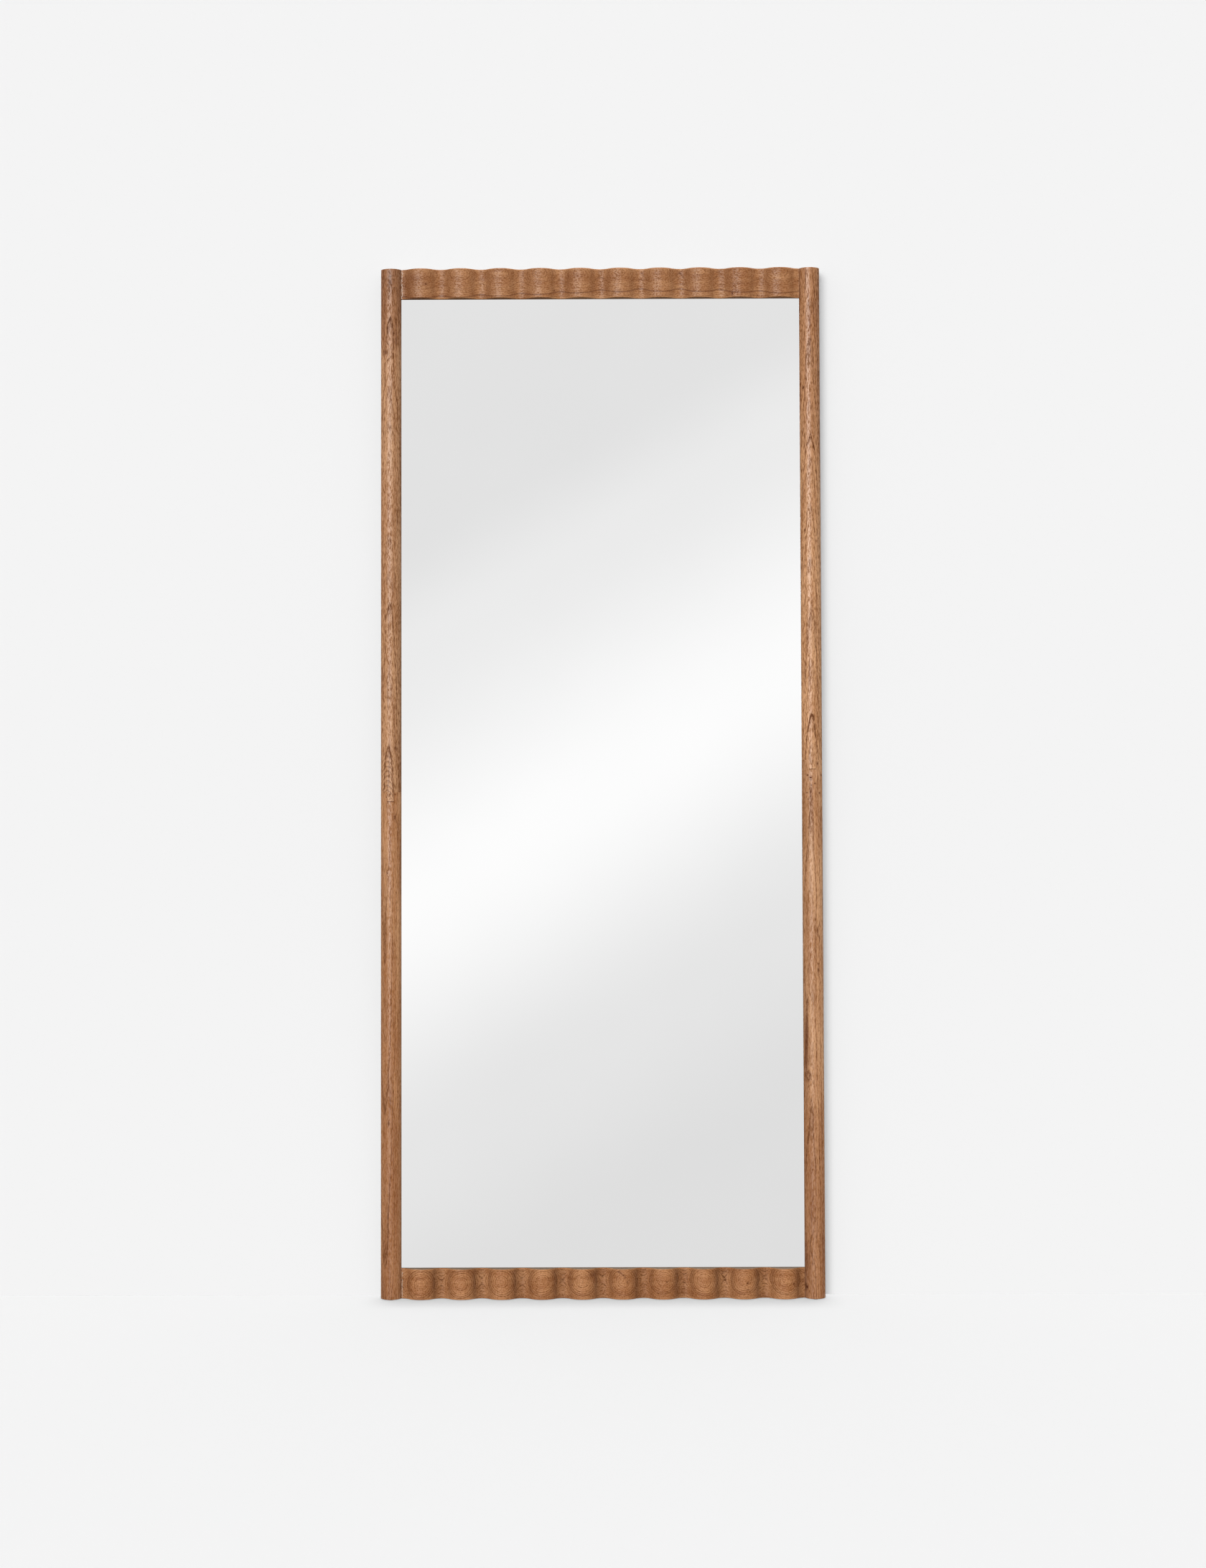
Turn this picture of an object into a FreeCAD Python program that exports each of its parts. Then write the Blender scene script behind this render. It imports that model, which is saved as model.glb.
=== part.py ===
"""Tall floor mirror: a solid wood frame with carved, wavy rails between half-round stiles.

Units are millimetres. X runs across the mirror, Y from its front to its back, and Z up.
The origin is on the floor, in the middle of the mirror's width and of its whole depth.
Places through the thickness are written as a depth behind the crests of the carved waves.
"""

import FreeCAD
import Part

import math
import os

from FreeCAD import Vector

# Wood frame
FRAME_WIDTH = 762.0
FRAME_HEIGHT = 1777.0
FRAME_DEPTH = 36.0
STILE_WIDTH = 34.6
RAIL_HEIGHT = 52.0
EDGE_EASE = 1.5

# Carved waves of the rails and the half-round front of the stiles
WAVE_COUNT = 10
WAVE_DEPTH = 12.0
CREST_SHARE = 0.62
STILE_SETBACK = 2.0

# Tongue joint that makes each stile out of two lengths of wood
TONGUE_LENGTH = 16.0
TONGUE_SHARE = 1 / 3
LEFT_JOINT_HEIGHT = 853.0
RIGHT_JOINT_HEIGHT = 907.0

# Dowels that hold the rails between the stiles
DOWEL_DIAMETER = 8.0
DOWEL_IN_STILE = 18.0
DOWEL_IN_RAIL = 22.0
DOWEL_FIRST = 10.0
DOWEL_SPACING = 18.0
DOWEL_CLEARANCE = 0.05
GLUE_ROOM = 0.5

# Mirror pocket in the back of the frame, and the layers in it from front to back
LIP_THICKNESS = 3.5
LIP_COVER = 6.6
PANEL_LEDGE = 8.0
TAPE_THICKNESS = 0.5
TAPE_WIDTH = 3.5
GLASS_THICKNESS = 5.0
GLASS_GAP = 2.0
FILM_THICKNESS = 0.3
CARD_THICKNESS = 2.2
PANEL_THICKNESS = 6.0
PANEL_GAP = 1.0
BLOCK_LENGTH = 40.0
SPACER_LENGTH = 30.0

# Screws: head, shank and length of each kind
PANEL_SCREW = {"head": 6.6, "head_height": 2.2, "shank": 3.5, "length": 14.0}
BRACE_SCREW = {"head": 7.6, "head_height": 2.6, "shank": 4.0, "length": 16.0}
HANGER_SCREW = {"head": 7.6, "head_height": 2.6, "shank": 4.0, "length": 18.0}
PILOT_CLEARANCE = 0.05
PLATE_HOLE_CLEARANCE = 0.25
DRIVE_SLOT_WIDTH = 0.9
DRIVE_SLOT_SHARE = 0.55
PANEL_SCREWS_PER_SIDE = 6
PANEL_SCREWS_PER_END = 3
PANEL_SCREW_EDGE = 3.5
PANEL_SCREW_CORNER = 60.0

# Flat steel braces across the frame's corners, on the back
BRACE_LEG = 80.0
BRACE_WIDTH = 14.0
BRACE_THICKNESS = 2.0
BRACE_CORNER = 4.0
BRACE_SIDE_INSET = 3.0
BRACE_END_INSET = 8.0
BRACE_HOLE_END = 8.0
BRACE_HOLE_SPACING = 16.0

# Ring hangers on the back of the stiles
HANGER_DROP = 350.0
HANGER_INSET = 10.0
STRAP_THICKNESS = 1.2
STRAP_WIDTH = 10.0
STRAP_LENGTH = 15.0
STRAP_HOLE_DROP = 9.0
RING_WIRE = 2.5
RING_INNER_WIDTH = 11.5
RING_INNER_LENGTH = 25.0
RING_CORNER = 1.8
RING_PLAY = 0.08

# Rubber bumpers against the wall and pads on the floor
BUMPER_DIAMETER = 12.0
BUMPER_HEIGHT = 6.0
BUMPER_EASE = 1.5
BUMPER_INSET = 10.0
BUMPER_END_DISTANCE = 110.0
PAD_DIAMETER = 11.0
PAD_THICKNESS = 3.0
PAD_PROUD = 1.0
PAD_MARGIN = 3.0
PAD_CLEARANCE = 0.2

# Sizes that follow from those above
TOTAL_DEPTH = FRAME_DEPTH + BUMPER_HEIGHT
BOTTOM = PAD_PROUD
TOP = PAD_PROUD + FRAME_HEIGHT
OUTER_X = FRAME_WIDTH / 2
INNER_X = OUTER_X - STILE_WIDTH
STILE_MIDDLE_X = (OUTER_X + INNER_X) / 2
OPENING_BOTTOM = BOTTOM + RAIL_HEIGHT
OPENING_TOP = TOP - RAIL_HEIGHT
LEDGE_DEPTH = WAVE_DEPTH + LIP_THICKNESS
GLASS_FRONT = LEDGE_DEPTH + TAPE_THICKNESS
GLASS_BACK = GLASS_FRONT + GLASS_THICKNESS
FILM_BACK = GLASS_BACK + FILM_THICKNESS
PANEL_FRONT = FILM_BACK + CARD_THICKNESS
PANEL_BACK = PANEL_FRONT + PANEL_THICKNESS
GLASS_POCKET = LIP_COVER
GLASS_OVERLAP = LIP_COVER - GLASS_GAP
PANEL_POCKET = LIP_COVER + PANEL_LEDGE
PANEL_OVERLAP = PANEL_POCKET - PANEL_GAP
DOWEL_DEPTH = (WAVE_DEPTH + FRAME_DEPTH) / 2
RING_RADIUS = RING_WIRE / 2
EYE_RADIUS = RING_RADIUS + RING_PLAY
RING_AXIS_DEPTH = FRAME_DEPTH + STRAP_THICKNESS + EYE_RADIUS
RING_AXIS_Z = TOP - HANGER_DROP
STRAP_STACK = 2 * STRAP_THICKNESS


def y_at(depth):
    """Y of a place that lies this deep behind the wave crests."""
    return depth - TOTAL_DEPTH / 2


def block(x_from, x_to, depth_from, depth_to, z_from, z_to):
    """A box between two places on each axis."""
    corner = Vector(min(x_from, x_to), y_at(depth_from), z_from)
    return Part.makeBox(abs(x_to - x_from), depth_to - depth_from, z_to - z_from, corner)


def opening_block(margin, depth_from, depth_to):
    """A box that is larger than the frame's opening by a margin all round."""
    x = INNER_X + margin
    return block(-x, x, depth_from, depth_to, OPENING_BOTTOM - margin, OPENING_TOP + margin)


def spread(first, last, count):
    """Evenly spaced places from the first to the last."""
    return [first + (last - first) * i / (count - 1) for i in range(count)]


def edges_at_z(shape, z):
    """The edges of a shape that lie in a level plane, apart from those on the frame's back."""
    back = y_at(FRAME_DEPTH)
    found = []
    for edge in shape.Edges:
        box = edge.BoundBox
        if abs(box.ZMin - z) < 1e-4 and abs(box.ZMax - z) < 1e-4 and box.YMin < back - 1e-4:
            found.append(edge)
    return found


def eased_ends(prism, z_from, z_to):
    """The prism with its upper and lower edges rounded, except along the back."""
    return prism.makeFillet(EDGE_EASE, edges_at_z(prism, z_from) + edges_at_z(prism, z_to))


def prism(outline, z_from, z_to):
    """A closed outline at level zero raised into a solid between two heights."""
    face = Part.Face(Part.Wire(outline))
    face.translate(Vector(0, 0, z_from))
    return face.extrude(Vector(0, 0, z_to - z_from))


# Fasteners


def screw(kind):
    """A pan-head screw along Y: the head's seat at the origin, the head behind it, the tip in front."""
    head_radius = kind["head"] / 2
    shank_radius = kind["shank"] / 2
    tip = kind["shank"]
    to_back = Vector(0, 1, 0)
    head = Part.makeCylinder(head_radius, kind["head_height"], Vector(), to_back)
    rim = [e for e in head.Edges if e.BoundBox.YMin > kind["head_height"] - 1e-6]
    head = head.makeFillet(kind["head_height"] / 2, rim)
    slot_length = kind["head"] * DRIVE_SLOT_SHARE
    slot_depth = kind["head_height"] / 2
    slot_y = kind["head_height"] - slot_depth
    for size_x, size_z in ((slot_length, DRIVE_SLOT_WIDTH), (DRIVE_SLOT_WIDTH, slot_length)):
        corner = Vector(-size_x / 2, slot_y, -size_z / 2)
        head = head.cut(Part.makeBox(size_x, slot_depth, size_z, corner))
    shank_start = Vector(0, tip - kind["length"], 0)
    shank = Part.makeCylinder(shank_radius, kind["length"] - tip, shank_start, to_back)
    point = Part.makeCone(shank_radius, shank_radius / 8, tip, shank_start, -to_back)
    return head.fuse([shank, point]).removeSplitter()


def screws(kind, places, seat_depth):
    """The same screw at each place, as a group of separate solids."""
    group = []
    for x, z in places:
        one = screw(kind)
        one.translate(Vector(x, y_at(seat_depth), z))
        group.append(one)
    return group


def holes(radius, places, depth_from, depth_to):
    """Round holes along Y at each place."""
    length = depth_to - depth_from
    return [
        Part.makeCylinder(radius, length, Vector(x, y_at(depth_from), z), Vector(0, 1, 0))
        for x, z in places
    ]


def pilot_holes(kind, places, seat_depth, wood_depth):
    """The holes that a kind of screw makes in the wood behind what it holds."""
    radius = kind["shank"] / 2 + PILOT_CLEARANCE
    return holes(radius, places, seat_depth - kind["length"] - PILOT_CLEARANCE, wood_depth)


def panel_screw_places():
    """Where screws pass through the backing panel's edges into the frame."""
    x = INNER_X + PANEL_OVERLAP - PANEL_SCREW_EDGE
    z_low = OPENING_BOTTOM - PANEL_OVERLAP + PANEL_SCREW_EDGE
    z_high = OPENING_TOP + PANEL_OVERLAP - PANEL_SCREW_EDGE
    side_z = spread(z_low + PANEL_SCREW_CORNER, z_high - PANEL_SCREW_CORNER, PANEL_SCREWS_PER_SIDE)
    end_x = spread(PANEL_SCREW_CORNER - x, x - PANEL_SCREW_CORNER, PANEL_SCREWS_PER_END)
    sides = [(side * x, z) for side in (-1, 1) for z in side_z]
    ends = [(place, z) for z in (z_low, z_high) for place in end_x]
    return sides + ends


def brace_corner(side, end):
    """The outer corner of a brace: side is -1 left or 1 right, end is -1 bottom or 1 top."""
    x = side * (OUTER_X - BRACE_SIDE_INSET)
    z = TOP - BRACE_END_INSET if end > 0 else BOTTOM + BRACE_END_INSET
    return x, z


def brace_screw_places(side, end):
    """Two screws in each leg of a brace, all past the dowels."""
    x, z = brace_corner(side, end)
    middle = BRACE_WIDTH / 2
    far = BRACE_LEG - BRACE_HOLE_END
    along = (far, far - BRACE_HOLE_SPACING)
    on_stile = [(x - side * middle, z - end * reach) for reach in along]
    on_rail = [(x - side * reach, z - end * middle) for reach in along]
    return on_stile + on_rail


def hanger_x(side):
    """The middle of a hanger across the mirror."""
    return side * (OUTER_X - HANGER_INSET)


def hanger_screw_places(side):
    """The one screw of a hanger's strap."""
    return [(hanger_x(side), RING_AXIS_Z - STRAP_HOLE_DROP)]


CORNERS = [(side, end) for side in (-1, 1) for end in (-1, 1)]
BRACE_PLACES = [place for corner in CORNERS for place in brace_screw_places(*corner)]
HANGER_PLACES = [place for side in (-1, 1) for place in hanger_screw_places(side)]


# Wood frame


def dowel(side, z, grow=0.0, room=0.0):
    """A dowel across the joint of a stile and a rail, or its hole when grown."""
    start = INNER_X - DOWEL_IN_RAIL - room
    length = DOWEL_IN_RAIL + DOWEL_IN_STILE + 2 * room
    radius = DOWEL_DIAMETER / 2 + grow
    place = Vector(side * start, y_at(DOWEL_DEPTH), z)
    return Part.makeCylinder(radius, length, place, Vector(side, 0, 0))


def dowel_heights():
    """Heights of the dowels, two in each rail, measured from its outer edge."""
    steps = (DOWEL_FIRST, DOWEL_FIRST + DOWEL_SPACING)
    return [BOTTOM + step for step in steps] + [TOP - step for step in steps]


def frame_cuts():
    """Everything that is cut out of the wood: the mirror pocket and the holes for dowels and screws."""
    cuts = [opening_block(GLASS_POCKET, LEDGE_DEPTH, FRAME_DEPTH)]
    cuts.append(opening_block(PANEL_POCKET, PANEL_FRONT, FRAME_DEPTH))
    for z in dowel_heights():
        for side in (-1, 1):
            cuts.append(dowel(side, z, DOWEL_CLEARANCE, GLUE_ROOM))
    cuts += pilot_holes(PANEL_SCREW, panel_screw_places(), PANEL_BACK, PANEL_FRONT)
    cuts += pilot_holes(BRACE_SCREW, BRACE_PLACES, FRAME_DEPTH + BRACE_THICKNESS, FRAME_DEPTH)
    cuts += pilot_holes(HANGER_SCREW, HANGER_PLACES, FRAME_DEPTH + STRAP_STACK, FRAME_DEPTH)
    for x, y in pad_places():
        radius = PAD_DIAMETER / 2 + PAD_CLEARANCE
        cuts.append(Part.makeCylinder(radius, PAD_THICKNESS - PAD_PROUD, Vector(x, y, BOTTOM)))
    return cuts


def whole_stile(side):
    """A stile before it is cut: a square bar with a half-round front and eased ends."""
    edge = y_at(WAVE_DEPTH)
    crown = y_at(STILE_SETBACK)
    back = y_at(FRAME_DEPTH)
    outer_front = Vector(side * OUTER_X, edge, 0)
    inner_front = Vector(side * INNER_X, edge, 0)
    outer_back = Vector(side * OUTER_X, back, 0)
    inner_back = Vector(side * INNER_X, back, 0)
    crown_point = Vector(side * STILE_MIDDLE_X, crown, 0)
    outline = [
        Part.Arc(outer_front, crown_point, inner_front).toShape(),
        Part.LineSegment(inner_front, inner_back).toShape(),
        Part.LineSegment(inner_back, outer_back).toShape(),
        Part.LineSegment(outer_back, outer_front).toShape(),
    ]
    return eased_ends(prism(outline, BOTTOM, TOP), BOTTOM, TOP)


def stile_lengths(side, joint_height, cuts):
    """The upper and lower lengths of a stile, joined by a tongue on the upper one."""
    stile = whole_stile(side).cut(cuts)
    shoulder = joint_height + TONGUE_LENGTH
    half_tongue = STILE_WIDTH * TONGUE_SHARE / 2
    middle = side * STILE_MIDDLE_X
    tongue = block(middle - half_tongue, middle + half_tongue, 0, FRAME_DEPTH, joint_height, shoulder)
    below = block(side * INNER_X, side * OUTER_X, 0, FRAME_DEPTH, BOTTOM, shoulder).cut(tongue)
    return stile.cut(below), stile.common(below)


def wave_edges():
    """The carved front of a rail from left to right, in arcs that run into each other."""
    half_pitch = INNER_X / WAVE_COUNT
    turn = 2 * math.atan(WAVE_DEPTH / half_pitch)
    crest_half = CREST_SHARE * half_pitch
    trough_half = half_pitch - crest_half
    trough_radius = trough_half / math.sin(turn)
    change = y_at(CREST_SHARE * WAVE_DEPTH)
    low = y_at(WAVE_DEPTH)
    high = y_at(0)
    end_x = trough_radius * math.sin(turn / 2)
    end_y = low - trough_radius * (1 - math.cos(turn / 2))
    crests = [-INNER_X + half_pitch * (2 * i + 1) for i in range(WAVE_COUNT)]
    edges = []
    left = Vector(-INNER_X, low, 0)
    through = Vector(-INNER_X + end_x, end_y, 0)
    for crest in crests:
        rise = Vector(crest - crest_half, change, 0)
        fall = Vector(crest + crest_half, change, 0)
        edges.append(Part.Arc(left, through, rise).toShape())
        edges.append(Part.Arc(rise, Vector(crest, high, 0), fall).toShape())
        left = fall
        through = Vector(crest + half_pitch, low, 0)
    last = Vector(INNER_X - end_x, end_y, 0)
    edges.append(Part.Arc(left, last, Vector(INNER_X, low, 0)).toShape())
    return edges


def rail(z_from, z_to, cuts):
    """A rail with a carved front between the stiles."""
    low = y_at(WAVE_DEPTH)
    back = y_at(FRAME_DEPTH)
    right = Vector(INNER_X, back, 0)
    left = Vector(-INNER_X, back, 0)
    outline = wave_edges()
    outline.append(Part.LineSegment(Vector(INNER_X, low, 0), right).toShape())
    outline.append(Part.LineSegment(right, left).toShape())
    outline.append(Part.LineSegment(left, Vector(-INNER_X, low, 0)).toShape())
    solid = prism(outline, z_from, z_to)
    front = [e for z in (z_from, z_to) for e in edges_at_z(solid, z) if e.Curve.TypeId == "Part::GeomCircle"]
    return solid.makeFillet(EDGE_EASE, front).cut(cuts)


# Mirror and what holds it in its pocket


def glazing_tape():
    """Four strips of tape between the lip and the glass, flush with the glass's edges."""
    outer = INNER_X + GLASS_OVERLAP
    inner = outer - TAPE_WIDTH
    low = OPENING_BOTTOM - GLASS_OVERLAP
    high = OPENING_TOP + GLASS_OVERLAP
    depths = (LEDGE_DEPTH, GLASS_FRONT)
    return [
        block(-outer, outer, *depths, low, low + TAPE_WIDTH),
        block(-outer, outer, *depths, high - TAPE_WIDTH, high),
        block(-outer, -inner, *depths, low + TAPE_WIDTH, high - TAPE_WIDTH),
        block(inner, outer, *depths, low + TAPE_WIDTH, high - TAPE_WIDTH),
    ]


def setting_blocks():
    """Two blocks in the gap under the glass, which carry its weight."""
    pocket_floor = OPENING_BOTTOM - GLASS_POCKET
    quarter = (INNER_X + GLASS_OVERLAP) / 2
    half = BLOCK_LENGTH / 2
    return [
        block(x - half, x + half, GLASS_FRONT, GLASS_BACK, pocket_floor, pocket_floor + GLASS_GAP)
        for x in (-quarter, quarter)
    ]


def edge_spacers():
    """Spacers in the gaps beside the glass, two on each side."""
    edge = INNER_X + GLASS_OVERLAP
    wall = INNER_X + GLASS_POCKET
    half = SPACER_LENGTH / 2
    heights = spread(OPENING_BOTTOM, OPENING_TOP, 5)[1::2]
    return [
        block(side * edge, side * wall, GLASS_FRONT, GLASS_BACK, z - half, z + half)
        for side in (-1, 1)
        for z in heights
    ]


def backing_panel():
    """The panel that closes the pocket, with a clearance hole for each screw."""
    panel = opening_block(PANEL_OVERLAP, PANEL_FRONT, PANEL_BACK)
    radius = PANEL_SCREW["shank"] / 2 + PLATE_HOLE_CLEARANCE
    return panel.cut(holes(radius, panel_screw_places(), PANEL_FRONT, PANEL_BACK))


# Hardware on the back


def corner_brace(side, end):
    """A flat angle plate over a corner of the frame, with rounded leg ends."""
    x, z = brace_corner(side, end)
    depths = (FRAME_DEPTH, FRAME_DEPTH + BRACE_THICKNESS)
    stile_leg = block(x, x - side * BRACE_WIDTH, *depths, *sorted((z, z - end * BRACE_LEG)))
    rail_leg = block(x, x - side * BRACE_LEG, *depths, *sorted((z, z - end * BRACE_WIDTH)))
    plate = stile_leg.fuse(rail_leg).removeSplitter()
    upright = [e for e in plate.Edges if abs(e.BoundBox.YLength - BRACE_THICKNESS) < 1e-4]
    inner = Vector(x - side * BRACE_WIDTH, 0, z - end * BRACE_WIDTH)
    corners = [
        e
        for e in upright
        if abs(e.BoundBox.XMin - inner.x) > 1e-4 or abs(e.BoundBox.ZMin - inner.z) > 1e-4
    ]
    plate = plate.makeFillet(BRACE_CORNER, corners)
    radius = BRACE_SCREW["shank"] / 2 + PLATE_HOLE_CLEARANCE
    return plate.cut(holes(radius, brace_screw_places(side, end), *depths))


def hanger_strap(side):
    """A steel strap folded round the ring's bar: an eye above a doubled plate with one screw hole."""
    x = hanger_x(side)
    half = STRAP_WIDTH / 2
    start = Vector(x - half, y_at(RING_AXIS_DEPTH), RING_AXIS_Z)
    along = Vector(1, 0, 0)
    eye = Part.makeCylinder(EYE_RADIUS + STRAP_THICKNESS, STRAP_WIDTH, start, along)
    depths = (FRAME_DEPTH, FRAME_DEPTH + STRAP_STACK)
    plate = block(x - half, x + half, *depths, RING_AXIS_Z - STRAP_LENGTH, RING_AXIS_Z)
    strap = eye.fuse(plate).cut(Part.makeCylinder(EYE_RADIUS, STRAP_WIDTH, start, along))
    radius = HANGER_SCREW["shank"] / 2 + PLATE_HOLE_CLEARANCE
    return strap.cut(holes(radius, hanger_screw_places(side), *depths)).removeSplitter()


def hanger_ring(side):
    """A ring of wire shaped like a D, hanging down with its straight bar in the strap's eye."""
    x = hanger_x(side)
    y = y_at(RING_AXIS_DEPTH)
    half = RING_INNER_WIDTH / 2 + RING_RADIUS
    arm_end = RING_AXIS_Z - (RING_INNER_LENGTH + RING_WIRE - half)
    corner = RING_CORNER
    bend = corner * (1 - math.sqrt(0.5))

    def at(across, z):
        return Vector(x + across, y, z)

    def line(start, end):
        return Part.LineSegment(start, end).toShape()

    def arc(start, middle, end):
        return Part.Arc(start, middle, end).toShape()

    bar_left = at(corner - half, RING_AXIS_Z)
    bar_right = at(half - corner, RING_AXIS_Z)
    arm_right = at(half, RING_AXIS_Z - corner)
    arm_left = at(-half, RING_AXIS_Z - corner)
    path = Part.Wire([
        line(bar_left, bar_right),
        arc(bar_right, at(half - bend, RING_AXIS_Z - bend), arm_right),
        line(arm_right, at(half, arm_end)),
        arc(at(half, arm_end), at(0, arm_end - half), at(-half, arm_end)),
        line(at(-half, arm_end), arm_left),
        arc(arm_left, at(bend - half, RING_AXIS_Z - bend), bar_left),
    ])
    section = Part.Wire(Part.makeCircle(RING_RADIUS, bar_left, Vector(1, 0, 0)))
    return path.makePipeShell([section], True, False)


def wall_bumpers():
    """Four rubber bumpers near the corners, which keep the hardware off the wall."""
    group = []
    for side, end in CORNERS:
        x = side * (OUTER_X - BUMPER_INSET)
        z = TOP - BUMPER_END_DISTANCE if end > 0 else BOTTOM + BUMPER_END_DISTANCE
        seat = Vector(x, y_at(FRAME_DEPTH), z)
        bumper = Part.makeCylinder(BUMPER_DIAMETER / 2, BUMPER_HEIGHT, seat, Vector(0, 1, 0))
        rim = [e for e in bumper.Edges if e.BoundBox.YMin > y_at(TOTAL_DEPTH) - 1e-4]
        group.append(bumper.makeFillet(BUMPER_EASE, rim))
    return group


def pad_places():
    """Centres of the floor pads: one near the front and one near the back of each stile."""
    radius = PAD_DIAMETER / 2
    front = y_at(STILE_SETBACK + PAD_MARGIN + radius)
    rear = y_at(FRAME_DEPTH - PAD_MARGIN - radius)
    return [(side * STILE_MIDDLE_X, y) for side in (-1, 1) for y in (front, rear)]


def floor_pads():
    """Rubber pads let into the lower ends of the stiles."""
    return [Part.makeCylinder(PAD_DIAMETER / 2, PAD_THICKNESS, Vector(x, y, 0)) for x, y in pad_places()]


def build():
    """Every sub-part by its name."""
    cuts = frame_cuts()
    left_upper, left_lower = stile_lengths(-1, LEFT_JOINT_HEIGHT, cuts)
    right_upper, right_lower = stile_lengths(1, RIGHT_JOINT_HEIGHT, cuts)
    brace_seat = FRAME_DEPTH + BRACE_THICKNESS
    hanger_seat = FRAME_DEPTH + STRAP_STACK
    return {
        "left_stile_upper": [left_upper],
        "left_stile_lower": [left_lower],
        "right_stile_upper": [right_upper],
        "right_stile_lower": [right_lower],
        "top_rail": [rail(OPENING_TOP, TOP, cuts)],
        "bottom_rail": [rail(BOTTOM, OPENING_BOTTOM, cuts)],
        "corner_dowels": [dowel(side, z) for z in dowel_heights() for side in (-1, 1)],
        "glazing_tape": glazing_tape(),
        "mirror_glass": [opening_block(GLASS_OVERLAP, GLASS_FRONT, GLASS_BACK)],
        "silvered_film": [opening_block(GLASS_OVERLAP, GLASS_BACK, FILM_BACK)],
        "liner_card": [opening_block(GLASS_OVERLAP, FILM_BACK, PANEL_FRONT)],
        "setting_blocks": setting_blocks(),
        "edge_spacers": edge_spacers(),
        "backing_panel": [backing_panel()],
        "panel_screws": screws(PANEL_SCREW, panel_screw_places(), PANEL_BACK),
        "corner_brace_bottom_left": [corner_brace(-1, -1)],
        "corner_brace_top_left": [corner_brace(-1, 1)],
        "corner_brace_bottom_right": [corner_brace(1, -1)],
        "corner_brace_top_right": [corner_brace(1, 1)],
        "brace_screws": screws(BRACE_SCREW, BRACE_PLACES, brace_seat),
        "hanger_strap_left": [hanger_strap(-1)],
        "hanger_strap_right": [hanger_strap(1)],
        "hanger_ring_left": [hanger_ring(-1)],
        "hanger_ring_right": [hanger_ring(1)],
        "hanger_screws": screws(HANGER_SCREW, HANGER_PLACES, hanger_seat),
        "wall_bumpers": wall_bumpers(),
        "floor_pads": floor_pads(),
    }


def main():
    """Writes one STEP file per sub-part."""
    os.makedirs("parts", exist_ok=True)
    for name, shapes in build().items():
        solids = [solid for shape in shapes for solid in shape.Solids]
        shape = solids[0] if len(solids) == 1 else Part.makeCompound(solids)
        shape.exportStep(f"parts/{name}.step")
        volume = sum(solid.Volume for solid in solids) / 1000
        print(f"{name}: {len(solids)} solids, {volume:.2f} cm3, valid {shape.isValid()}")


main()
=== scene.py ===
"""Looks of a tall floor mirror: a carved wood frame, its glass and the fittings on its back.

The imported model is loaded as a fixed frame, and every piece here is in metres in that frame.
X runs across the mirror, Y from its front to its back, and Z up.
"""

import math

import bmesh
import bpy
from bpy.props import FloatProperty, FloatVectorProperty, IntProperty, PointerProperty
from bpy.types import Operator, Panel, PropertyGroup
from mathutils import Matrix, Vector


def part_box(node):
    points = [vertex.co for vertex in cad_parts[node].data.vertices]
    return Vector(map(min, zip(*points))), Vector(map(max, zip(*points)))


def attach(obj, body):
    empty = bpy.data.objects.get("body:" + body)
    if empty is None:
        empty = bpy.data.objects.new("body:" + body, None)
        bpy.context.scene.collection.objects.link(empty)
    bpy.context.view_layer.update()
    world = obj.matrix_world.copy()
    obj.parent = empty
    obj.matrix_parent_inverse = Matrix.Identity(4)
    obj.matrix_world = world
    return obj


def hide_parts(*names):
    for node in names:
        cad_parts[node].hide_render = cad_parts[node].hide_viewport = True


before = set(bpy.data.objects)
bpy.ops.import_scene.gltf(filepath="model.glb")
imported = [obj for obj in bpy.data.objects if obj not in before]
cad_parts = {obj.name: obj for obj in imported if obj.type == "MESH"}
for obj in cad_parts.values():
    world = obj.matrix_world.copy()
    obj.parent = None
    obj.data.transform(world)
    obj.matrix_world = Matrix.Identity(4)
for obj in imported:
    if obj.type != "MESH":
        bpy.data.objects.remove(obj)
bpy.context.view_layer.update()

bl_info = {
    "name": "Carved Floor Mirror",
    "version": (1, 0, 0),
    "blender": (4, 5, 0),
    "location": "View3D > Sidebar > Mirror",
    "description": "Builds the wood, glass and fittings of a tall floor mirror on its packed model",
    "category": "Object",
}

# Steps of the round forms
CREST_STEPS = 14
TROUGH_STEPS = 10
CROWN_STEPS = 28
ROUND_STEPS = 28
FOLD_STEPS = 26
WIRE_SIDES = 16
BEND_STEPS = 6
BOW_STEPS = 24
CORNER_STEPS = 8
RIM_STEPS = 5

# Edges of the meshes: how close points are one, and what angles are sharp
NEAR = 1e-6
SMOOTH_ANGLE = math.radians(35)
SHARP_ANGLE = 0.7
EASE_ROOM = 2.2

# Small sizes of the fittings, in metres
BRACE_WIDTH = 0.014
BRACE_CORNER = 0.004
PLATE_EASE = 0.0004
STRAP_THICKNESS = 0.0012
WIRE_RADIUS = 0.00125
WIRE_BEND = 0.0018
BUMPER_EDGE = 0.0015
BUMPER_DISH = 0.0003

# Wood: width of a growth ring, oil drunk by cut ends, depth of the grain, and what it bounces
RING_SPACING = 0.0034
END_GRAIN = 1.2
GRAIN_DEPTH = 0.0004
BOUNCE_GREY = (0.2, 0.2, 0.2)
KNOT_FRONT = -0.015
KNOT_REACH = 0.012

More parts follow.
